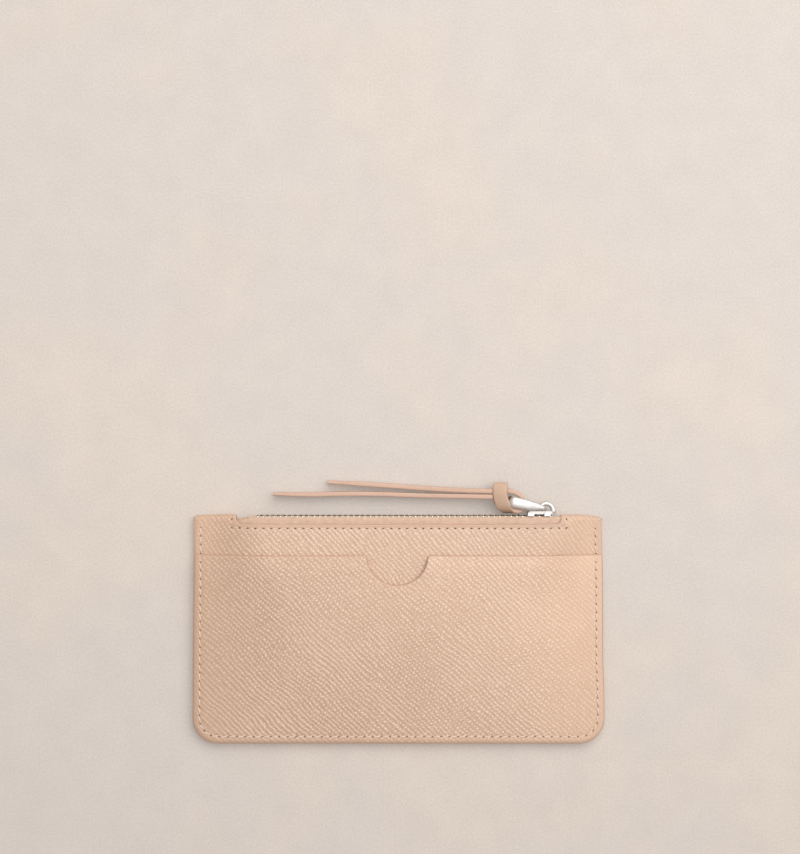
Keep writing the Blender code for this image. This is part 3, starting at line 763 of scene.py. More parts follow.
def seam_relief(x, y):
    """The dip that the side and bottom stitches pull into the leather."""
    off = edge_distance(x, y) - SEAM_INSET
    dip = -0.16 * hump(off, 0.75) * (y < SEAM_STITCHED_TO)
    worn = np.clip(1 - (off + SEAM_INSET) / 1.9, 0, 1)
    return dip - 0.42 * worn ** 2


def off_zip_seam(x, y):
    return np.where(np.abs(x) < ZIP_STITCH_HALF, y - ZIP_STITCH_Y, FAR)


def zip_relief(x, y):
    return -0.13 * hump(off_zip_seam(x, y), 0.6)


def pocket_thickness(y):
    pared = smoothstep((POCKET_TOP - y) / SKIVE)
    return POCKET_EDGE_THICKNESS + (LEATHER - POCKET_EDGE_THICKNESS) * pared


def swell(x, y):
    """Faint, broad unevenness of leather that has been handled."""
    rise = (np.sin(x / 17 + 0.8 * np.sin(y / 13)) * np.cos(y / 15 + 0.7 * np.sin(x / 23)))
    calm = smoothstep((edge_distance(x, y) - 3) / 8) * smoothstep((38 - y) / 8)
    return 0.10 * rise * calm


def steps_between(*stops):
    """Places from the first stop on; each further stop is (place, step up to it)."""
    places = [stops[0]]
    for end, step in stops[1:]:
        count = max(1, ceil(abs(end - places[-1]) / step - 1e-9))
        places += list(np.linspace(places[-1], end, count + 1)[1:])
    return np.array(places)


def corner_columns(step):
    """Columns over a bottom corner, evenly spread along its arc, as offsets from its start."""
    count = ceil(BOTTOM_CORNER * pi / 2 / step)
    return BOTTOM_CORNER * np.sin(np.linspace(0, pi / 2, count + 1))


def mirrored(half):
    return np.concatenate([-half[::-1], half[half > 1e-9]])


# ---------------------------------------------------------------- the leather pieces

def make_shell():
    """Back wall, fold and front wall in one piece, with the zip's window cut out of the fold."""
    half = np.concatenate([
        steps_between(0.0, (56, 0.9), (WINDOW_HALF - WINDOW_CORNER, GRID_STEP),
                      (WINDOW_HALF, 0.25), (HALF_WIDTH - BOTTOM_CORNER, GRID_STEP))[:-1],
        HALF_WIDTH - BOTTOM_CORNER + corner_columns(GRID_STEP)])
    columns = mirrored(half)
    x = columns[:, None]
    reach = np.clip(np.abs(columns) - (WINDOW_HALF - WINDOW_CORNER), 0, WINDOW_CORNER)
    edge = WINDOW_EDGE + WINDOW_CORNER - np.sqrt(WINDOW_CORNER ** 2 - reach ** 2)
    past = np.clip((np.abs(columns) - WINDOW_HALF) / 2, 0, 1)
    edge = edge - 1.6 * smoothstep(past) * (np.abs(columns) > WINDOW_HALF)
    low = bottom_y(columns)
    thick = front_z(columns, np.full_like(columns, HALF_HEIGHT))
    depth = FOLD_DEPTH * thick
    start = HALF_HEIGHT - depth
    edge = np.where(np.abs(columns) > WINDOW_HALF, np.maximum(edge, start), edge)
    first = steps_between(0.0, (0.07, 0.005), (0.86, 0.025), (1.0, 0.0055))
    fold_angle = np.arcsin(np.clip((edge - start) / depth, -1, 1))
    y_front = low[:, None] + (edge - low)[:, None] * first[None, :]
    y_start, y_depth, middle = start[:, None], depth[:, None], thick[:, None] / 2
    bend = np.clip((y_front - y_start) / y_depth, 0, 1)
    z_bend = middle + middle * np.sqrt(1 - bend ** 2)
    z_front = np.where(y_front > y_start, z_bend, front_z(x, y_front))
    lip = window_lip(x, y_front, edge[:, None])
    z_front = z_front + seam_relief(x, y_front) + zip_relief(x, y_front) + swell(x, y_front)
    z_front = z_front + 0.14 * lip * smoothstep((edge[:, None] - y_front) / 0.5)
    ease = np.linspace(0, 1, 17)[None, 1:-1]
    angle = fold_angle[:, None] * (1 - ease) + (pi - fold_angle[:, None]) * ease
    y_fold = y_start + y_depth * np.sin(angle)
    z_fold = middle + middle * np.cos(angle)
    y_back = y_front[:, ::-1]
    bend = np.clip((y_back - y_start) / y_depth, 0, 1)
    z_back = np.where(y_back > y_start, middle - middle * np.sqrt(1 - bend ** 2), 0.0)
    off = edge_distance(x, y_back) - SEAM_INSET
    z_back = z_back + BACK_RECESS * hump(off, 0.55) * (y_back < SEAM_STITCHED_TO)
    z_back = z_back + BACK_RECESS * hump(off_zip_seam(x, y_back), 0.55)
    y = np.concatenate([y_front, y_fold, y_back], axis=1)
    z = np.concatenate([z_front, z_fold, z_back], axis=1)
    over = np.clip(np.abs(columns) - (HALF_WIDTH - TOP_CORNER), 0, TOP_CORNER)
    shrink = (np.sqrt(TOP_CORNER ** 2 - over ** 2) / TOP_CORNER)[:, None]
    level = HALF_HEIGHT - TOP_CORNER
    y = np.where(y > level, level + (y - level) * np.maximum(shrink, 0.12), y)
    xs = np.broadcast_to(x, y.shape)
    moved_x, moved_y = set_by_hand(xs, y)
    outer = np.stack([moved_x, moved_y, z], axis=2)
    inner = outer - grid_normals(outer, 20) * LEATHER
    uv = np.stack([xs, run_down(y, z) + low[:, None]], axis=2)
    mask = np.ones((len(columns) - 1, y.shape[1] - 1), bool)
    between = (columns[:-1] + columns[1:]) / 2
    rows = np.arange(y.shape[1] - 1)
    in_fold = (rows >= len(first) - 1) & (rows < len(first) + ease.shape[1])
    mask[(np.abs(between) < WINDOW_HALF)[:, None] & in_fold[None, :]] = False
    lips = np.concatenate([lip, np.zeros_like(y_fold), lip[:, ::-1]], axis=1)
    smooth, rubbed_and_shaded = pressed_edge(xs, y)
    # Painted shade: the leather along the window's edge is painted darker, for the shade in the
    # groove beside the tape.
    near_edge = 1 - smoothstep((edge[:, None] - y) / 0.45)
    rubbed_and_shaded = np.maximum(rubbed_and_shaded, near_edge * lips * (y < edge[:, None] + 0.1))
    calm = np.stack([np.maximum(smooth, lips), 0.6 * rubbed_and_shaded], axis=2)
    shell = slab("shell_leather", outer, inner, uv, [leather_shell, flesh, edge_paint], mask,
                 calm=calm)
    finish_piece(shell, "pouch", "grained_leather", "outer_shell")


def window_lip(x, y, edge):
    """1 on the smooth, turned leather round the zip's window, and 0 off it."""
    along = (1 - smoothstep((edge - y - 0.85) / 0.4)) * (np.abs(x) < WINDOW_HALF)
    right = 1 - smoothstep((x - WINDOW_HALF - 1.5) / 0.5)
    left = 1 - smoothstep((-x - WINDOW_HALF - 1.3) / 0.5)
    ends = np.where(x > 0, right, left) * (np.abs(x) >= WINDOW_HALF)
    return np.maximum(along, ends * smoothstep((y - ZIP_STITCH_Y - 0.3) / 0.5))


def pressed_edge(x, y):
    """How smooth the sewn margin is pressed, and how far its outermost edge is painted darker, as
    wear and painted shade.
    """
    off = edge_distance(x, y)
    return (0.35 * (1 - smoothstep((off - 1.2) / 1.0)), 1 - smoothstep((off - 0.05) / 0.45))


NOTCH_RISE = 0.3  # the notch's centre stands this far above the pocket's edge
NOTCH_CENTRE_Y = POCKET_TOP + NOTCH_RISE
NOTCH_RADIUS = 11.3
POCKET_NARROWER = 1 - 0.2 / 75
GAPE = 0.75  # the notch's lower edge stands off the shell here
GAPE_X, GAPE_Y = 9.5, 23
POCKET_HIDE = 400  # along U, since the pocket is cut from another place of the hide


def pocket_top_path(step):
    """The pocket's top edge from the middle of the notch out to the side, as x and y."""
    out = sqrt(NOTCH_RADIUS ** 2 - NOTCH_RISE ** 2)
    low_angle = pi / 2 - atan2(NOTCH_RISE + 0.9, NOTCH_RADIUS)
    angles = np.linspace(0, low_angle, 80)
    arc = np.stack([NOTCH_RADIUS * np.sin(angles),
                    NOTCH_CENTRE_Y - NOTCH_RADIUS * np.cos(angles)], 1)
    corner = np.array([out, POCKET_TOP])
    beyond = np.array([out + 1.0, POCKET_TOP])
    t = np.linspace(0, 1, 12)[1:, None]
    lip = arc[-1] * (1 - t) ** 2 + 2 * corner * t * (1 - t) + beyond * t ** 2
    return evenly(np.concatenate([arc, lip]), step, ceil)


def make_pocket():
    notch = pocket_top_path(GRID_STEP)
    outer_half = np.concatenate([
        steps_between(notch[-1, 0], (64, 0.8),
                      (HALF_WIDTH - BOTTOM_CORNER, GRID_STEP))[1:-1],
        HALF_WIDTH - BOTTOM_CORNER + corner_columns(GRID_STEP)])
    half = np.concatenate([notch[:, 0], outer_half])
    tops = np.concatenate([notch[:, 1], np.full(len(outer_half), POCKET_TOP)])
    columns = np.concatenate([-half[::-1], half[1:]])
    top = np.concatenate([tops[::-1], tops[1:]])
    low = bottom_y(columns)
    meet = 5
    lower = steps_between(0.0, (0.13, 0.009), (1.0, 0.018))
    upper = steps_between(0.0, (0.72, 0.036), (1.0, 0.019))[1:]
    y = np.concatenate([low[:, None] + (meet - low)[:, None] * lower[None, :],
                        meet + (top - meet)[:, None] * upper[None, :]], axis=1)
    xs = np.broadcast_to(columns[:, None], y.shape)
    relief = seam_relief(xs, y)
    under = front_z(xs, y) + LAYER_GAP + swell(xs, y)
    under = under + GAPE * hump(xs - GAPE_X, 5) * hump(y - GAPE_Y, 5)
    z = under + pocket_thickness(y) + relief
    moved_x, moved_y = set_by_hand(xs, y)
    moved_x = moved_x * POCKET_NARROWER - 0.5 * hump(xs, 30)
    moved_y = moved_y + 0.3 * hump(xs, 12) * smoothstep(y / 12)
    outer = np.stack([moved_x, moved_y, z], axis=2)
    inner = np.stack([moved_x, moved_y, under + np.minimum(relief, 0) * 0.2], axis=2)
    uv = np.stack([xs + POCKET_HIDE, y], axis=2)
    smooth, rubbed_and_shaded = pressed_edge(xs, y)
    below = top[:, None] - y
    smooth = np.maximum(smooth, 0.8 * (1 - smoothstep((below - 0.1) / 0.4)))
    # Painted shade: a thin strip along the pocket's top edge is painted darker, for the shade of
    # its edge.
    rubbed_and_shaded = np.maximum(rubbed_and_shaded, 1 - smoothstep(below / 0.3))
    calm = np.stack([smooth, 0.6 * rubbed_and_shaded], axis=2)
    pocket = slab("pocket_leather", outer, inner, uv, [leather_pocket, flesh, edge_paint],
                  calm=calm)
    finish_piece(pocket, "pouch", "grained_leather", "card_pocket")


def make_lining():
    """The inner bag: one sheet of cloth, folded at the bottom and open at the zip."""
    inset = 0.7
    columns = mirrored(steps_between(0.0, (60, 2), (HALF_WIDTH - inset, 0.8)))
    mouth = box("lining")[1].y
    low = bottom_y(columns) + SEAM_MARGIN
    rows = np.linspace(0, 1, 40)
    y_up = low[:, None] + (mouth - low)[:, None] * rows[None, :]
    xs = np.broadcast_to(columns[:, None], y_up.shape)
    z_front = front_z(xs, y_up) - LEATHER - LAYER_GAP
    z_back = np.full_like(y_up, LEATHER + GAP)
    turn = np.radians(np.linspace(-90, 90, 7)[1:-1])[None, :]
    middle = (z_front[:, :1] + z_back[:, :1]) / 2
    half = (z_front[:, :1] - z_back[:, :1]) / 2
    y_turn = low[:, None] - half * np.cos(turn)
    z_turn = middle + half * np.sin(turn)
    y = np.concatenate([y_up[:, ::-1], y_turn, y_up], axis=1)
    z = np.concatenate([z_back, z_turn, z_front], axis=1)
    xs = np.broadcast_to(columns[:, None], y.shape)
    outer = np.stack([xs, y, z], axis=2)
    inner = outer - grid_normals(outer, -5) * LINING * 0.85
    run = run_down(y, z)
    uv = np.stack([xs, run], axis=2)
    lining = slab("lining_cloth", outer, inner, uv, [lining_weave] * 3, bulge=0.02,
                  shoulder=0.02, rings=1)
    finish_piece(lining, "pouch", "lining_fabric", "lining")


def perimeter(inset, top, step):
    """Points and outward directions down the left side, along the bottom and up the right."""
    radius = BOTTOM_CORNER - inset
    left = -HALF_WIDTH + inset
    low = -HALF_HEIGHT + inset
    centre_x = -HALF_WIDTH + BOTTOM_CORNER
    centre_y = -HALF_HEIGHT + BOTTOM_CORNER
    line = [(left, y) for y in np.linspace(top, centre_y, 60)[:-1]]
    line += [(centre_x + radius * cos(a), centre_y + radius * sin(a))
             for a in np.linspace(pi, 1.5 * pi, 24)]
    half = np.array(line)
    path = np.concatenate([half, [(0.0, low)], half[::-1] * [-1, 1]])
    points = evenly(path, step, round, 2)
    tangent = unit(np.gradient(points, axis=0))
    return points, np.stack([tangent[:, 1], -tangent[:, 0]], 1)


def front_surface(x, y):
    """The outermost leather face at a place on the front, with the pocket where it lies."""
    in_notch = (np.hypot(x, y - NOTCH_CENTRE_Y) < NOTCH_RADIUS)
    covered = (y < POCKET_TOP) & ~in_notch
    z = front_z(x, y) + seam_relief(x, y) + zip_relief(x, y) + swell(x, y)
    return z + covered * (LAYER_GAP + pocket_thickness(y))


def make_edge():
    """The paint that closes the cut edges of the sewn layers."""
    points, away = perimeter(0.05, HALF_HEIGHT - 4.6, 0.8)
    if (away[0] * [-1, 0]).sum() < 0:
        away = -away
    x, y = points.T
    top = front_surface(x, y) - 0.3
    low = 0.22
    rows = np.linspace(0, 1, 11)
    z = low + (top - low)[:, None] * rows[None, :]
    proud = (0.02 + 0.16 * np.sin(pi * rows) ** 0.5)
    mx, my = set_by_hand(x, y)
    outer = np.stack([mx[:, None] + away[:, :1] * proud, my[:, None] + away[:, 1:] * proud, z],
                     axis=2)
    inner = outer - np.stack([np.broadcast_to(away[:, :1], z.shape), np.broadcast_to(
        away[:, 1:], z.shape), np.zeros_like(z)], axis=2) * 0.25
    uv = np.stack([np.broadcast_to(np.arange(len(x))[:, None] * 0.8, z.shape), z], axis=2)
    edge = slab("edge_paint_coat", outer, inner, uv, [edge_paint] * 3, bulge=0.03, shoulder=0.03)
    finish_piece(edge, "pouch", "grained_leather")


# ---------------------------------------------------------------- stitches

AROUND = 8  # points round a thread
RINGS = 9  # along a stitch
LENS = 10  # points round a needle hole


def seam_frame(along, normal_sign):
    """Unit directions along a seam, across it and up out of the leather."""
    along = along / np.linalg.norm(along)
    side = np.array([-along[1], along[0], 0.0])
    side /= np.linalg.norm(side)
    up = np.cross(along, side)
    return along, side, -up if up[2] * normal_sign < 0 else up


def stitch_row(name, run, normal_sign, length_share, radius, sink, node_name, slant=0.0,
               hole_size=(0.42, 0.30), proud=0.10, hole_kind=None, hole_turn=0.0):
    """One thread stitch between each two holes, and at each hole a dark disc of painted shade.
    run is the holes' (x, y, z) places on the leather's face."""
    points, faces, kinds, uvs = [], [], [], []

    def close_body(kind, around, rings):
        """Adds the faces over the points that were added last."""
        made = ring_faces(around, rings, base=len(points) - around * rings)
        faces.extend(made)
        kinds.extend([kind] * len(made))

    for first, second in zip(run, run[1:]):
        middle = (first + second) / 2
        reach = np.linalg.norm(second - first)
        along, side, up = seam_frame(second - first, normal_sign)
        lean = side * slant * reach / 2
        for t in np.linspace(-1, 1, RINGS):
            place = (middle + along * t * reach * length_share / 2 + lean * t
                     + up * (proud - sink * abs(t) ** 3))
            size = radius * (1 - 0.25 * t ** 4)
            for angle in np.linspace(0, 2 * pi, AROUND, endpoint=False):
                points.append(place + side * size * cos(angle) + up * size * 0.85 * sin(angle))
                uvs.append(((t + 1) * reach / 2, angle * radius))
        close_body(0, AROUND, RINGS)
    turn = radians(hole_turn)
    for index, hole in enumerate(run):
        before, after = run[max(index - 1, 0)], run[min(index + 1, len(run) - 1)]
        along, side, up = seam_frame(after - before, normal_sign)
        along, side = along * cos(turn) + side * sin(turn), side * cos(turn) - along * sin(turn)
        for level, share in ((0.015, 1.0), (0.035, 0.6)):
            for angle in np.linspace(0, 2 * pi, LENS, endpoint=False):
                points.append(hole + up * level
                              + along * hole_size[0] * share * cos(angle)
                              + side * hole_size[1] * share * sin(angle))
                uvs.append((0, 0))
        close_body(1, LENS, 2)
    obj = make_object(name, points, faces, [thread, hole_kind or needle_hole_shade], uvs, kinds, sharp=0)
    turn_outward(obj.data)
    finish_piece(obj, "pouch", "thread", node_name)


def place_on(surface, x, y):
    z = surface(x, y)
    mx, my = set_by_hand(x, y)
    return np.stack([mx, my, z], 1)


def on_back(x, y):
    return np.full_like(x, BACK_RECESS)


def on_front(x, y):
    """The shell's front face, and round the fold above it."""
    thick = front_z(x, np.full_like(x, HALF_HEIGHT))
    depth = FOLD_DEPTH * thick
    bend = np.clip((y - (HALF_HEIGHT - depth)) / depth, 0, 1)
    curved = thick / 2 + thick / 2 * np.sqrt(1 - bend ** 2)
    return np.where(bend > 0, curved, front_z(x, y) + zip_relief(x, y))


def make_stitches():
    seam_x, seam_y = perimeter(SEAM_INSET, 37.2, SEAM_PITCH)[0].T
    seam_look = {"slant": 0.18, "hole_kind": seam_hole_shade, "hole_turn": 40}
    front = place_on(front_surface, seam_x, seam_y)
    stitch_row("seam_stitches_front", front, 1, 0.76, 0.27, 0.32,
               "seam_stitching_front", proud=0.15, hole_size=(0.60, 0.25), **seam_look)
    back = place_on(on_back, seam_x, seam_y)
    stitch_row("seam_stitches_back", back, -1, 0.74, 0.20, 0.22,
               "seam_stitching_back", proud=0.10, hole_size=(0.46, 0.24), **seam_look)
    count = round(2 * ZIP_STITCH_HALF / ZIP_PITCH)
    x = ZIP_STITCH_MIDDLE + np.linspace(-ZIP_STITCH_HALF, ZIP_STITCH_HALF, count + 1)
    y = np.full_like(x, ZIP_STITCH_Y)
    y[[0, -1]] += 0.05
    x = np.concatenate([x[:1], x, x[-1:]])
    y = np.concatenate([[ZIP_STITCH_Y + ZIP_PITCH], y, [ZIP_STITCH_Y + ZIP_PITCH]])
    stitch_row("zip_stitches_front", place_on(on_front, x, y), 1, 0.66, 0.18, 0.28,
               "zip_stitching_front", proud=0.02, hole_size=(0.47, 0.34))
    stitch_row("zip_stitches_back", place_on(on_back, x[1:-1], y[1:-1]), -1, 0.70, 0.19,
               0.22, "zip_stitching_back", proud=0.10, hole_size=(0.36, 0.28))


# ---------------------------------------------------------------- zip

CHAIN_HALF = 2.1
TAPE = 0.4
TAPE_LOWER_EDGE = 30.0
TAPE_HALF_LENGTH = 60.8
TOOTH_PITCH = 2.05
ZIP_RISE = 0.18  # the tape's edge stands this much above the chain's middle
TEETH_START, TEETH_END = (corner.x for corner in box("zip_teeth_front"))
CORD_RADIUS = 0.42  # the beaded edge that the teeth grip


def make_tape(name, side, replaced):
    """Half of the tape: down inside its wall, over a bend and in to the corded edge."""
    full = MID_Z - LEATHER - 2 * GAP
    rings = []
    uv = []
    for x in steps_between(-TAPE_HALF_LENGTH, (-56, 0.3), (56, 1.0), (TAPE_HALF_LENGTH, 0.3)):
        top = CHAIN_MID_Y + ZIP_RISE
        if x > 0:
            top -= 1.5 * smoothstep((x - 58.9) / 1.2)
        else:
            top -= 1.1 * smoothstep((-x - 52.5) / 6.0)
            top -= 0.9 * smoothstep((-x - 58.8) / 1.4)
        ripple = 0.05 * sin(x / 3.1) + 0.04 * sin(x / 1.7 + 1)
        middle = float(front_z(x, HALF_HEIGHT)) / 2
        wall = middle - LEATHER - 2 * GAP
        chain = CHAIN_HALF * wall / full
        hidden = []
        for y in (37, 34, TAPE_LOWER_EDGE):
            w = wall
            if side > 0:
                w = float(front_z(x, y)) - LEATHER - 2 * GAP - middle
            hidden.append((y, w))
        line = [(top, chain - 0.15), (top + 0.02, chain + 0.35),
                (top - 0.12, wall - 0.55), (top - 0.5, wall - 0.2),
                (top - 1.1, wall - 0.05 + ripple), *hidden]
        line = curve_through(line, 4)
        tangent = unit(np.gradient(line, axis=0))
        normal = np.stack([-tangent[:, 1], tangent[:, 0]], 1) * TAPE / 2
        if normal[-1, 1] < 0:
            normal = -normal
        line = line - normal
        loop = np.concatenate([line + normal, (line - normal)[::-1]])
        rings.append([(x, y, middle + side * w) for y, w in loop])
        uv.append([(x, run) for run in run_along(loop)])
    tape = loft(name, rings, [tape_weave], uv, sharp=60)
    finish_piece(tape, "pouch", "zip_tape", replaced)
    bead = []
    for x in steps_between(TEETH_START - 3, (TEETH_END + 0.6, 1.5)):
        bead.append([(x, CHAIN_MID_Y + CORD_RADIUS * cos(a), MID_Z + side
                      * (CHAIN_HALF - 0.25 + CORD_RADIUS * sin(a)))
                     for a in np.linspace(0, 2 * pi, 12, endpoint=False)])
    finish_piece(loft(name + "_cord", bead, [tape_weave]), "pouch", "zip_tape")


def bevelled_box(bm, low, high, taper=1.0):
    """Adds a box to bm whose end at the lower z side is narrower by taper."""
    for v in bmesh.ops.create_cube(bm, size=1)["verts"]:
        share = v.co.z + 0.5
        narrow = taper + (1 - taper) * share
        v.co = Vector(((low[0] + high[0]) / 2 + v.co.x * (high[0] - low[0]) * narrow,
                       (low[1] + high[1]) / 2 + v.co.y * (high[1] - low[1]),
                       low[2] + share * (high[2] - low[2])))


def tooth_row(first, low, high, bevel, taper=1.0):
    """Bevelled boxes at the teeth's pitch, from first to the chain's end. low and high are
    their (y, z) limits in mm, with y from the chain's middle."""
    bm = bmesh.new()
    centre = first
    while centre + 0.55 < TEETH_END:
        bevelled_box(bm, (centre - 0.5, CHAIN_MID_Y + low[0], low[1]),
                     (centre + 0.5, CHAIN_MID_Y + high[0], high[1]), taper)
        centre += TOOTH_PITCH
    bmesh.ops.bevel(bm, geom=bm.edges[:], offset=bevel, segments=3, profile=0.5, affect="EDGES")
    return bm


def make_teeth(name, side, offset, replaced):
    """A row of cast teeth, each with two legs round the cord and a rounded head."""
    first = TEETH_START + 0.65 + offset
    bm = tooth_row(first, (-0.75, 0.95), (0.85, 2.35), 0.36)
    heads = tooth_row(first, (-0.75, -0.42), (0.75, 1.2), 0.26, 0.55)
    spare = bpy.data.meshes.new(name + "_heads")
    heads.to_mesh(spare)
    heads.free()
    bm.from_mesh(spare)
    bpy.data.meshes.remove(spare)
    for v in bm.verts:
        v.co.z = MID_Z + side * v.co.z
    bmesh.ops.recalc_face_normals(bm, faces=bm.faces)
    teeth = add_mesh(name, bm, nickel_teeth)
    teeth.data.shade_smooth()
    finish_piece(teeth, "pouch", "nickel", replaced)


def metal_piece(name, bm, body, replaced, bevel, segments=3, material=None):
    bmesh.ops.recalc_face_normals(bm, faces=bm.faces)
    obj = add_mesh(name, bm, material or nickel)
    obj.data.shade_smooth()
    obj.data.set_sharp_from_angle(angle=radians(35))
    modifier = obj.modifiers.new("soft edges", "BEVEL")
    modifier.width = bevel * MM
    modifier.segments = segments
    modifier.limit_method = "ANGLE"
    modifier.angle_limit = radians(32)
    finish_piece(obj, body, "nickel", *replaced)


def metal_box(name, low, high, body, replaced, bevel, material=None):
    bm = bmesh.new()
    bevelled_box(bm, low, high)
    metal_piece(name, bm, body, replaced, bevel, material=material)


def make_stops():
    for name in ("top_stop_front", "top_stop_back", "bottom_stop"):
        low, high = box(name)
        metal_box(name + "_metal", low, (high.x, high.y - 0.65, high.z), "pouch", (name,),
                  0.28, nickel_teeth)


# ---------------------------------------------------------------- slider and pull

def prism_y(bm, outline, low, high):
    """Adds to bm an outline of (x, z) points, extruded along Y."""
    lower = [bm.verts.new((x, low, z)) for x, z in outline]
    upper = [bm.verts.new((x, high, z)) for x, z in outline]
    bm.faces.new(lower)
    bm.faces.new(upper[::-1])
    for k in range(len(outline)):
        l = (k + 1) % len(outline)
        bm.faces.new((lower[k], lower[l], upper[l], upper[k]))


PLATE_THICKNESS = 1.0


def plate_outline(half_width, rear, nose):
    """A slider plate from above: a shield, narrow at the rear and round at the nose."""
    points = []
    for t in np.linspace(0, 1, 9):
        a = pi / 2 * t
        points.append((nose - 2.4 + 2.4 * cos(a), half_width * sin(a)))
    for t in np.linspace(0, 1, 7)[1:]:
        points.append((nose - 2.4 + (rear + 1.0 - nose + 2.4) * t,
                       half_width - 0.5 * smoothstep(t)))
    for t in np.linspace(0, 1, 5)[1:]:
        a = pi / 2 * t
        points.append((rear + 1.0 - 1.0 * sin(a),
                       (half_width - 0.5) * cos(a) * 0.999 + 0.001
                       if t < 1 else half_width - 1.6))
    points += [(x, -w) for x, w in points[::-1]]
    return [(float(x), float(MID_Z + w)) for x, w in points]


def make_slider():
    low, high = box("slider_body")
    rear, nose = low.x, high.x
    half = (high.z - low.z) / 2
    plate_low = high.y - PLATE_THICKNESS
    for label, width, bottom, replaced in (("top", half, plate_low, ("slider_body",)),
                                           ("bottom", half - 0.45, low.y, ())):
        bm = bmesh.new()
        prism_y(bm, plate_outline(width, rear, nose), bottom, bottom + PLATE_THICKNESS)
        metal_piece(f"slider_{label}_plate", bm, "slider", replaced, 0.32, 4)
    metal_box("slider_post", (nose - 4.2, low.y + 0.9, MID_Z - 0.4),
              (nose - 1.0, plate_low + 0.1, MID_Z + 0.4), "slider", (),
              0.15)
    for label, side in (("front", 1), ("back", -1)):
        reach = sorted(MID_Z + side * off for off in (2.32, half + 0.12))
        for part, start, end in (("rear", rear + 0.1, rear + 2.7),
                                 ("nose", rear + 6.1, nose - 2.1)):
            metal_box(f"slider_flange_{label}_{part}", (start, plate_low - 0.9, reach[0]),
                      (end, plate_low + 0.72, reach[1]), "slider", (), 0.24)


def make_crown():
    """The cast arch over the pull's pin, with feet that spread into the top plate."""
    low, high = box("slider_crown")
    middle = (low.x + high.x) / 2
    strap = 0.82
    half = (high.x - low.x) / 2 - strap
    tall = high.y - low.y - 0.1 - strap
    rings = []
    for angle in np.linspace(-10, 190, 45):
        a = radians(angle)
        foot = smoothstep((abs(angle - 90) - 60) / 40)
        radius = strap + 0.16 * foot
        width = 1.02 + 0.4 * foot
        centre = Vector((middle + half * cos(a), low.y + tall * sin(a), MID_Z))
        outward = Vector((cos(a) / half, sin(a) / tall, 0)).normalized()
        rings.append([tuple(centre + outward * radius * u + Vector((0, 0, width * w)))
                      for u, w in superellipse(28, 2.5)])
    crown = loft("slider_crown_arch", rings, [nickel], sharp=60)
    finish_piece(crown, "slider", "nickel", "slider_crown")


def superellipse(count, power):
    """A rounded square outline of half-size one."""
    points = []
    for k in range(count):
        a = 2 * pi * k / count
        c, s = cos(a), sin(a)
        scale = (abs(c) ** power + abs(s) ** power) ** (-1 / power)
        points.append((c * scale, s * scale))
    return points


def make_pull():
    """The cast stirrup, swept round its own opening."""
    length = (LACE_BAR - PULL_PIN).length
    forward = (LACE_BAR - PULL_PIN) / length
    across = Vector((-forward.y, forward.x, 0))
    upward = Vector((0, 0, 1))
    stations = [  # along the pull, to the side, half-size, half-thickness, set over, in mm
        (-0.05, 0.0, 0.60, 0.70, 0), (-0.05, 0.8, 0.60, 0.72, 0), (0.3, 1.55, 0.62, 0.80, 0),
        (1.3, 1.95, 0.62, 1.0, 0.05), (3.4, 2.5, 0.64, 1.5, 0.2), (5.6, 3.05, 0.68, 1.75, 0.3),
        (7.6, 3.3, 0.76, 1.9, 0.3), (9.6, 3.4, 0.9, 2.05, 0.35), (11.6, 3.4, 1.0, 2.15, 0.4),
        (12.5, 2.8, 1.1, 2.15, 0.45), (12.5, 1.8, 1.2, 2.1, 0.4), (12.3, 0.9, 1.3, 2.05, 0.4),
        (12.2, 0.0, 1.35, 2.0, 0.4)]
    half = curve_through(stations, 6)
    whole = np.concatenate([half, half[-2:0:-1] * [1, -1, 1, 1, 1]])
    centre = whole[:, :2]
    tangent = unit(np.roll(centre, -1, 0) - np.roll(centre, 1, 0))
    rings = []
    for (u, w, size, thick, over), (tu, tw) in zip(whole, tangent):
        ring = []
        for a, b in superellipse(32, 2.3):
            pu = u + a * size * tw
            pw = w - a * size * tu
            point = (PULL_PIN + forward * pu + upward * pw + across * (b * thick + over))
            ring.append(tuple(point))
        rings.append(ring)
    pull = loft("pull_stirrup", rings, [nickel], closed=True, sharp=0)
    finish_piece(pull, "pull", "nickel", "pull_tab")


# ---------------------------------------------------------------- lace

LACE_WIDTH = 5.0
LACE_THICKNESS = 1.6
LACE_EDGE_RADIUS = 0.38
LACE_REST_Z = LACE_WIDTH / 2 + 0.1
LACE_DROP = 26
TAIL_START_X = 34.3
UPPER_TAIL = [(TAIL_START_X, 50.5), (21, 50.9), (8.2, 51.6),
              (-4, 52.5), (-15, 53.2), (-25.9, 53.8)]
LOWER_TAIL = [(TAIL_START_X, 48.5), (21, 48.7), (8.2, 48.9),
              (-7, 49.4), (-19.6, 49.5), (-33, 49.2),
              (-45.7, 49.5)]


def make_tail(name, route, replaced):
    """A free tail: a flat strip on edge, which sinks from the zip's height to the ground."""
    flat = curve_through(route, 8)
    z = MID_Z + (LACE_REST_Z - MID_Z) * smoothstep((TAIL_START_X - flat[:, 0]) / LACE_DROP)
    centre = np.column_stack([flat, z])
    wide = np.tile([0.0, 0.0, 1.0], (len(centre), 1))
    section = rounded_section(LACE_WIDTH, LACE_THICKNESS, LACE_EDGE_RADIUS)
    left = np.linalg.norm(centre - centre[-1], axis=1)
    thickness = 0.72 + 0.34 * smoothstep(left / 16)
    tail = ribbon(name, centre, wide, section, [lace_leather, lace_edge], thickness)
    finish_piece(tail, "lace", "lace_leather", replaced)


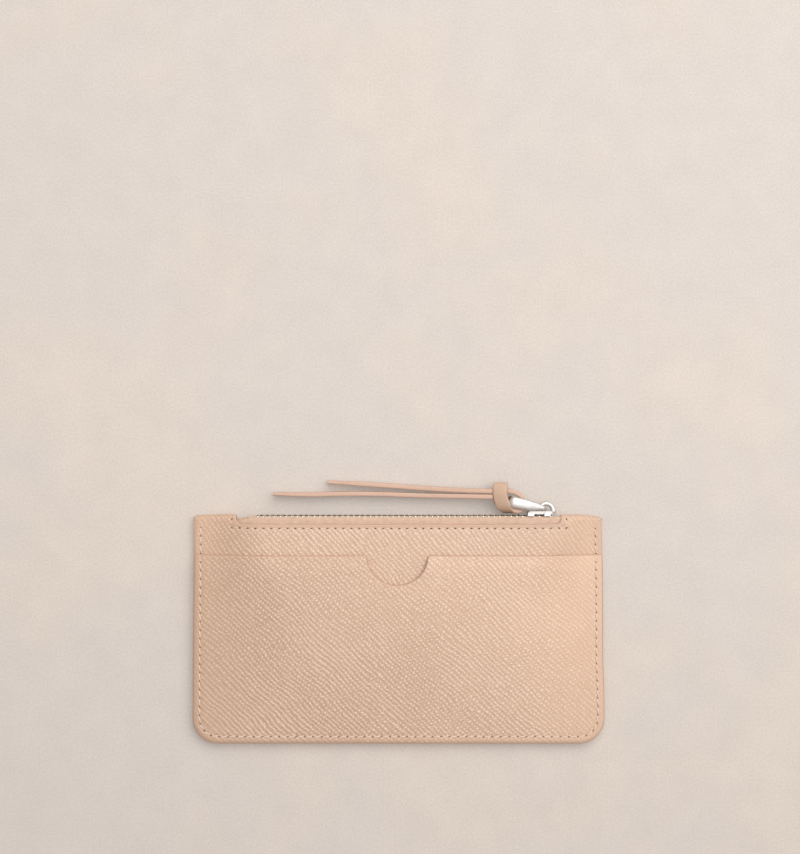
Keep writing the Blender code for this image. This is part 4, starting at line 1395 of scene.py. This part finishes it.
def make_hitch():
    """One strip: in over the top of the bar, round it, back under it, then twisting up into a
    band that binds both tails and tucks in behind them."""
    route = [  # x, y, z of the middle, then the direction of the strip's width
        (34.5, 50.5, 4.5, 0, 0, 1), (37.7, 50.6, 4.5, 0, 0, 1), (40.3, 50.6, 4.5, 0, 0, 1),
        (42.4, 50.1, 4.5, 0, 0, 1), (44.2, 49.05, 4.5, 0, 0, 1), (45.6, 47.6, 4.5, 0, 0, 1),
        (45.95, 45.9, 4.5, 0, 0, 1), (45.3, 44.4, 4.5, 0, 0, 1), (44.0, 43.5, 4.5, 0.05, 0, 1),
        (42.6, 43.3, 4.7, 0.15, 0.05, 1), (41.2, 43.4, 5.0, 0.35, 0.1, 0.95),
        (39.6, 44.0, 5.8, 0.7, 0.3, 0.75), (38.3, 45.3, 6.8, 0.92, 0.25, 0.5),
        (37.45, 47.2, 7.5, 1, 0.15, 0.45), (36.95, 49.6, 7.9, 1, 0.05, 0.45),
        (37.05, 51.6, 7.7, 1, 0, 0.4), (37.2, 52.75, 6.6, 1, 0, 0.25), (37.3, 53.0, 4.9, 1, 0, 0),
        (37.3, 52.6, 2.6, 1, 0, 0), (37.3, 51.2, 1.15, 1, 0, 0), (37.3, 49.0, 0.95, 1, 0, 0),
        (37.4, 47.2, 1.5, 1, 0, 0), (37.6, 46.6, 3.0, 1, 0, 0)]
    line = curve_through(route, 7)
    centre = line[:, :3]
    section = rounded_section(LACE_WIDTH + 0.2, LACE_THICKNESS, LACE_EDGE_RADIUS)
    hitch = ribbon("lace_hitch_band", centre, line[:, 3:], section, [lace_leather, lace_edge])
    finish_piece(hitch, "lace", "lace_leather", "lace_hitch")
    stub = curve_through([(34.6, 48.5, 4.5), (35.6, 48.45, 4.5), (37.0, 48.35, 4.5),
                          (38.4, 48.2, 4.5)], 6)
    wide = np.tile([0.0, 0.0, 1.0], (len(stub), 1))
    section = rounded_section(LACE_WIDTH * 0.94, LACE_THICKNESS, LACE_EDGE_RADIUS)
    inner = ribbon("lace_hitch_end", stub, wide, section, [lace_leather, lace_edge])
    finish_piece(inner, "lace", "lace_leather")


# ---------------------------------------------------------------- the pieces, in order

make_tail("lace_tail_upper_strip", UPPER_TAIL, "lace_tail_upper")
make_tail("lace_tail_lower_strip", LOWER_TAIL, "lace_tail_lower")
make_hitch()
make_shell()
make_pocket()
make_lining()
make_edge()
make_stitches()
make_tape("tape_front", 1, "zip_tape_front")
make_tape("tape_back", -1, "zip_tape_back")
make_teeth("teeth_front", 1, 0.0, "zip_teeth_front")
make_teeth("teeth_back", -1, TOOTH_PITCH / 2, "zip_teeth_back")
make_stops()
make_slider()
make_crown()
make_pull()



# ---------------------------------------------------------------- ground and light

def make_ground():
    bm = bmesh.new()
    bmesh.ops.create_grid(bm, x_segments=40, y_segments=40, size=1500)
    ground = add_mesh("ground", bm, ground_material())
    ground.location = (0, 0, -0.05 * MM)


def area_light(name, place, target, size, power, colour):
    data = bpy.data.lights.new(name, "AREA")
    data.shape = "DISK"
    data.size = size
    data.energy = power
    data.color = colour
    lamp = add_object(name, data)
    lamp.location = place
    lamp.rotation_euler = (Vector(target) - Vector(place)).to_track_quat("-Z", "Y").to_euler()


def light_world(colour, strength):
    world = bpy.data.worlds.new("studio")
    world.use_nodes = True
    background = world.node_tree.nodes["Background"]
    background.inputs["Color"].default_value = (*colour, 1)
    background.inputs["Strength"].default_value = strength
    bpy.context.scene.world = world


make_ground()
area_light("key", (0.38, 0.55, 1.0), (0, 0.05, 0), 1.4, 10.9, (1.0, 1.0, 0.995))
area_light("overhead", (0.2, 0.3, 1.0), (0.2, 0.3, 0), 1.3, 3.4, (0.99, 1.0, 1.0))
light_world((1.0, 0.915, 0.88), 0.45)
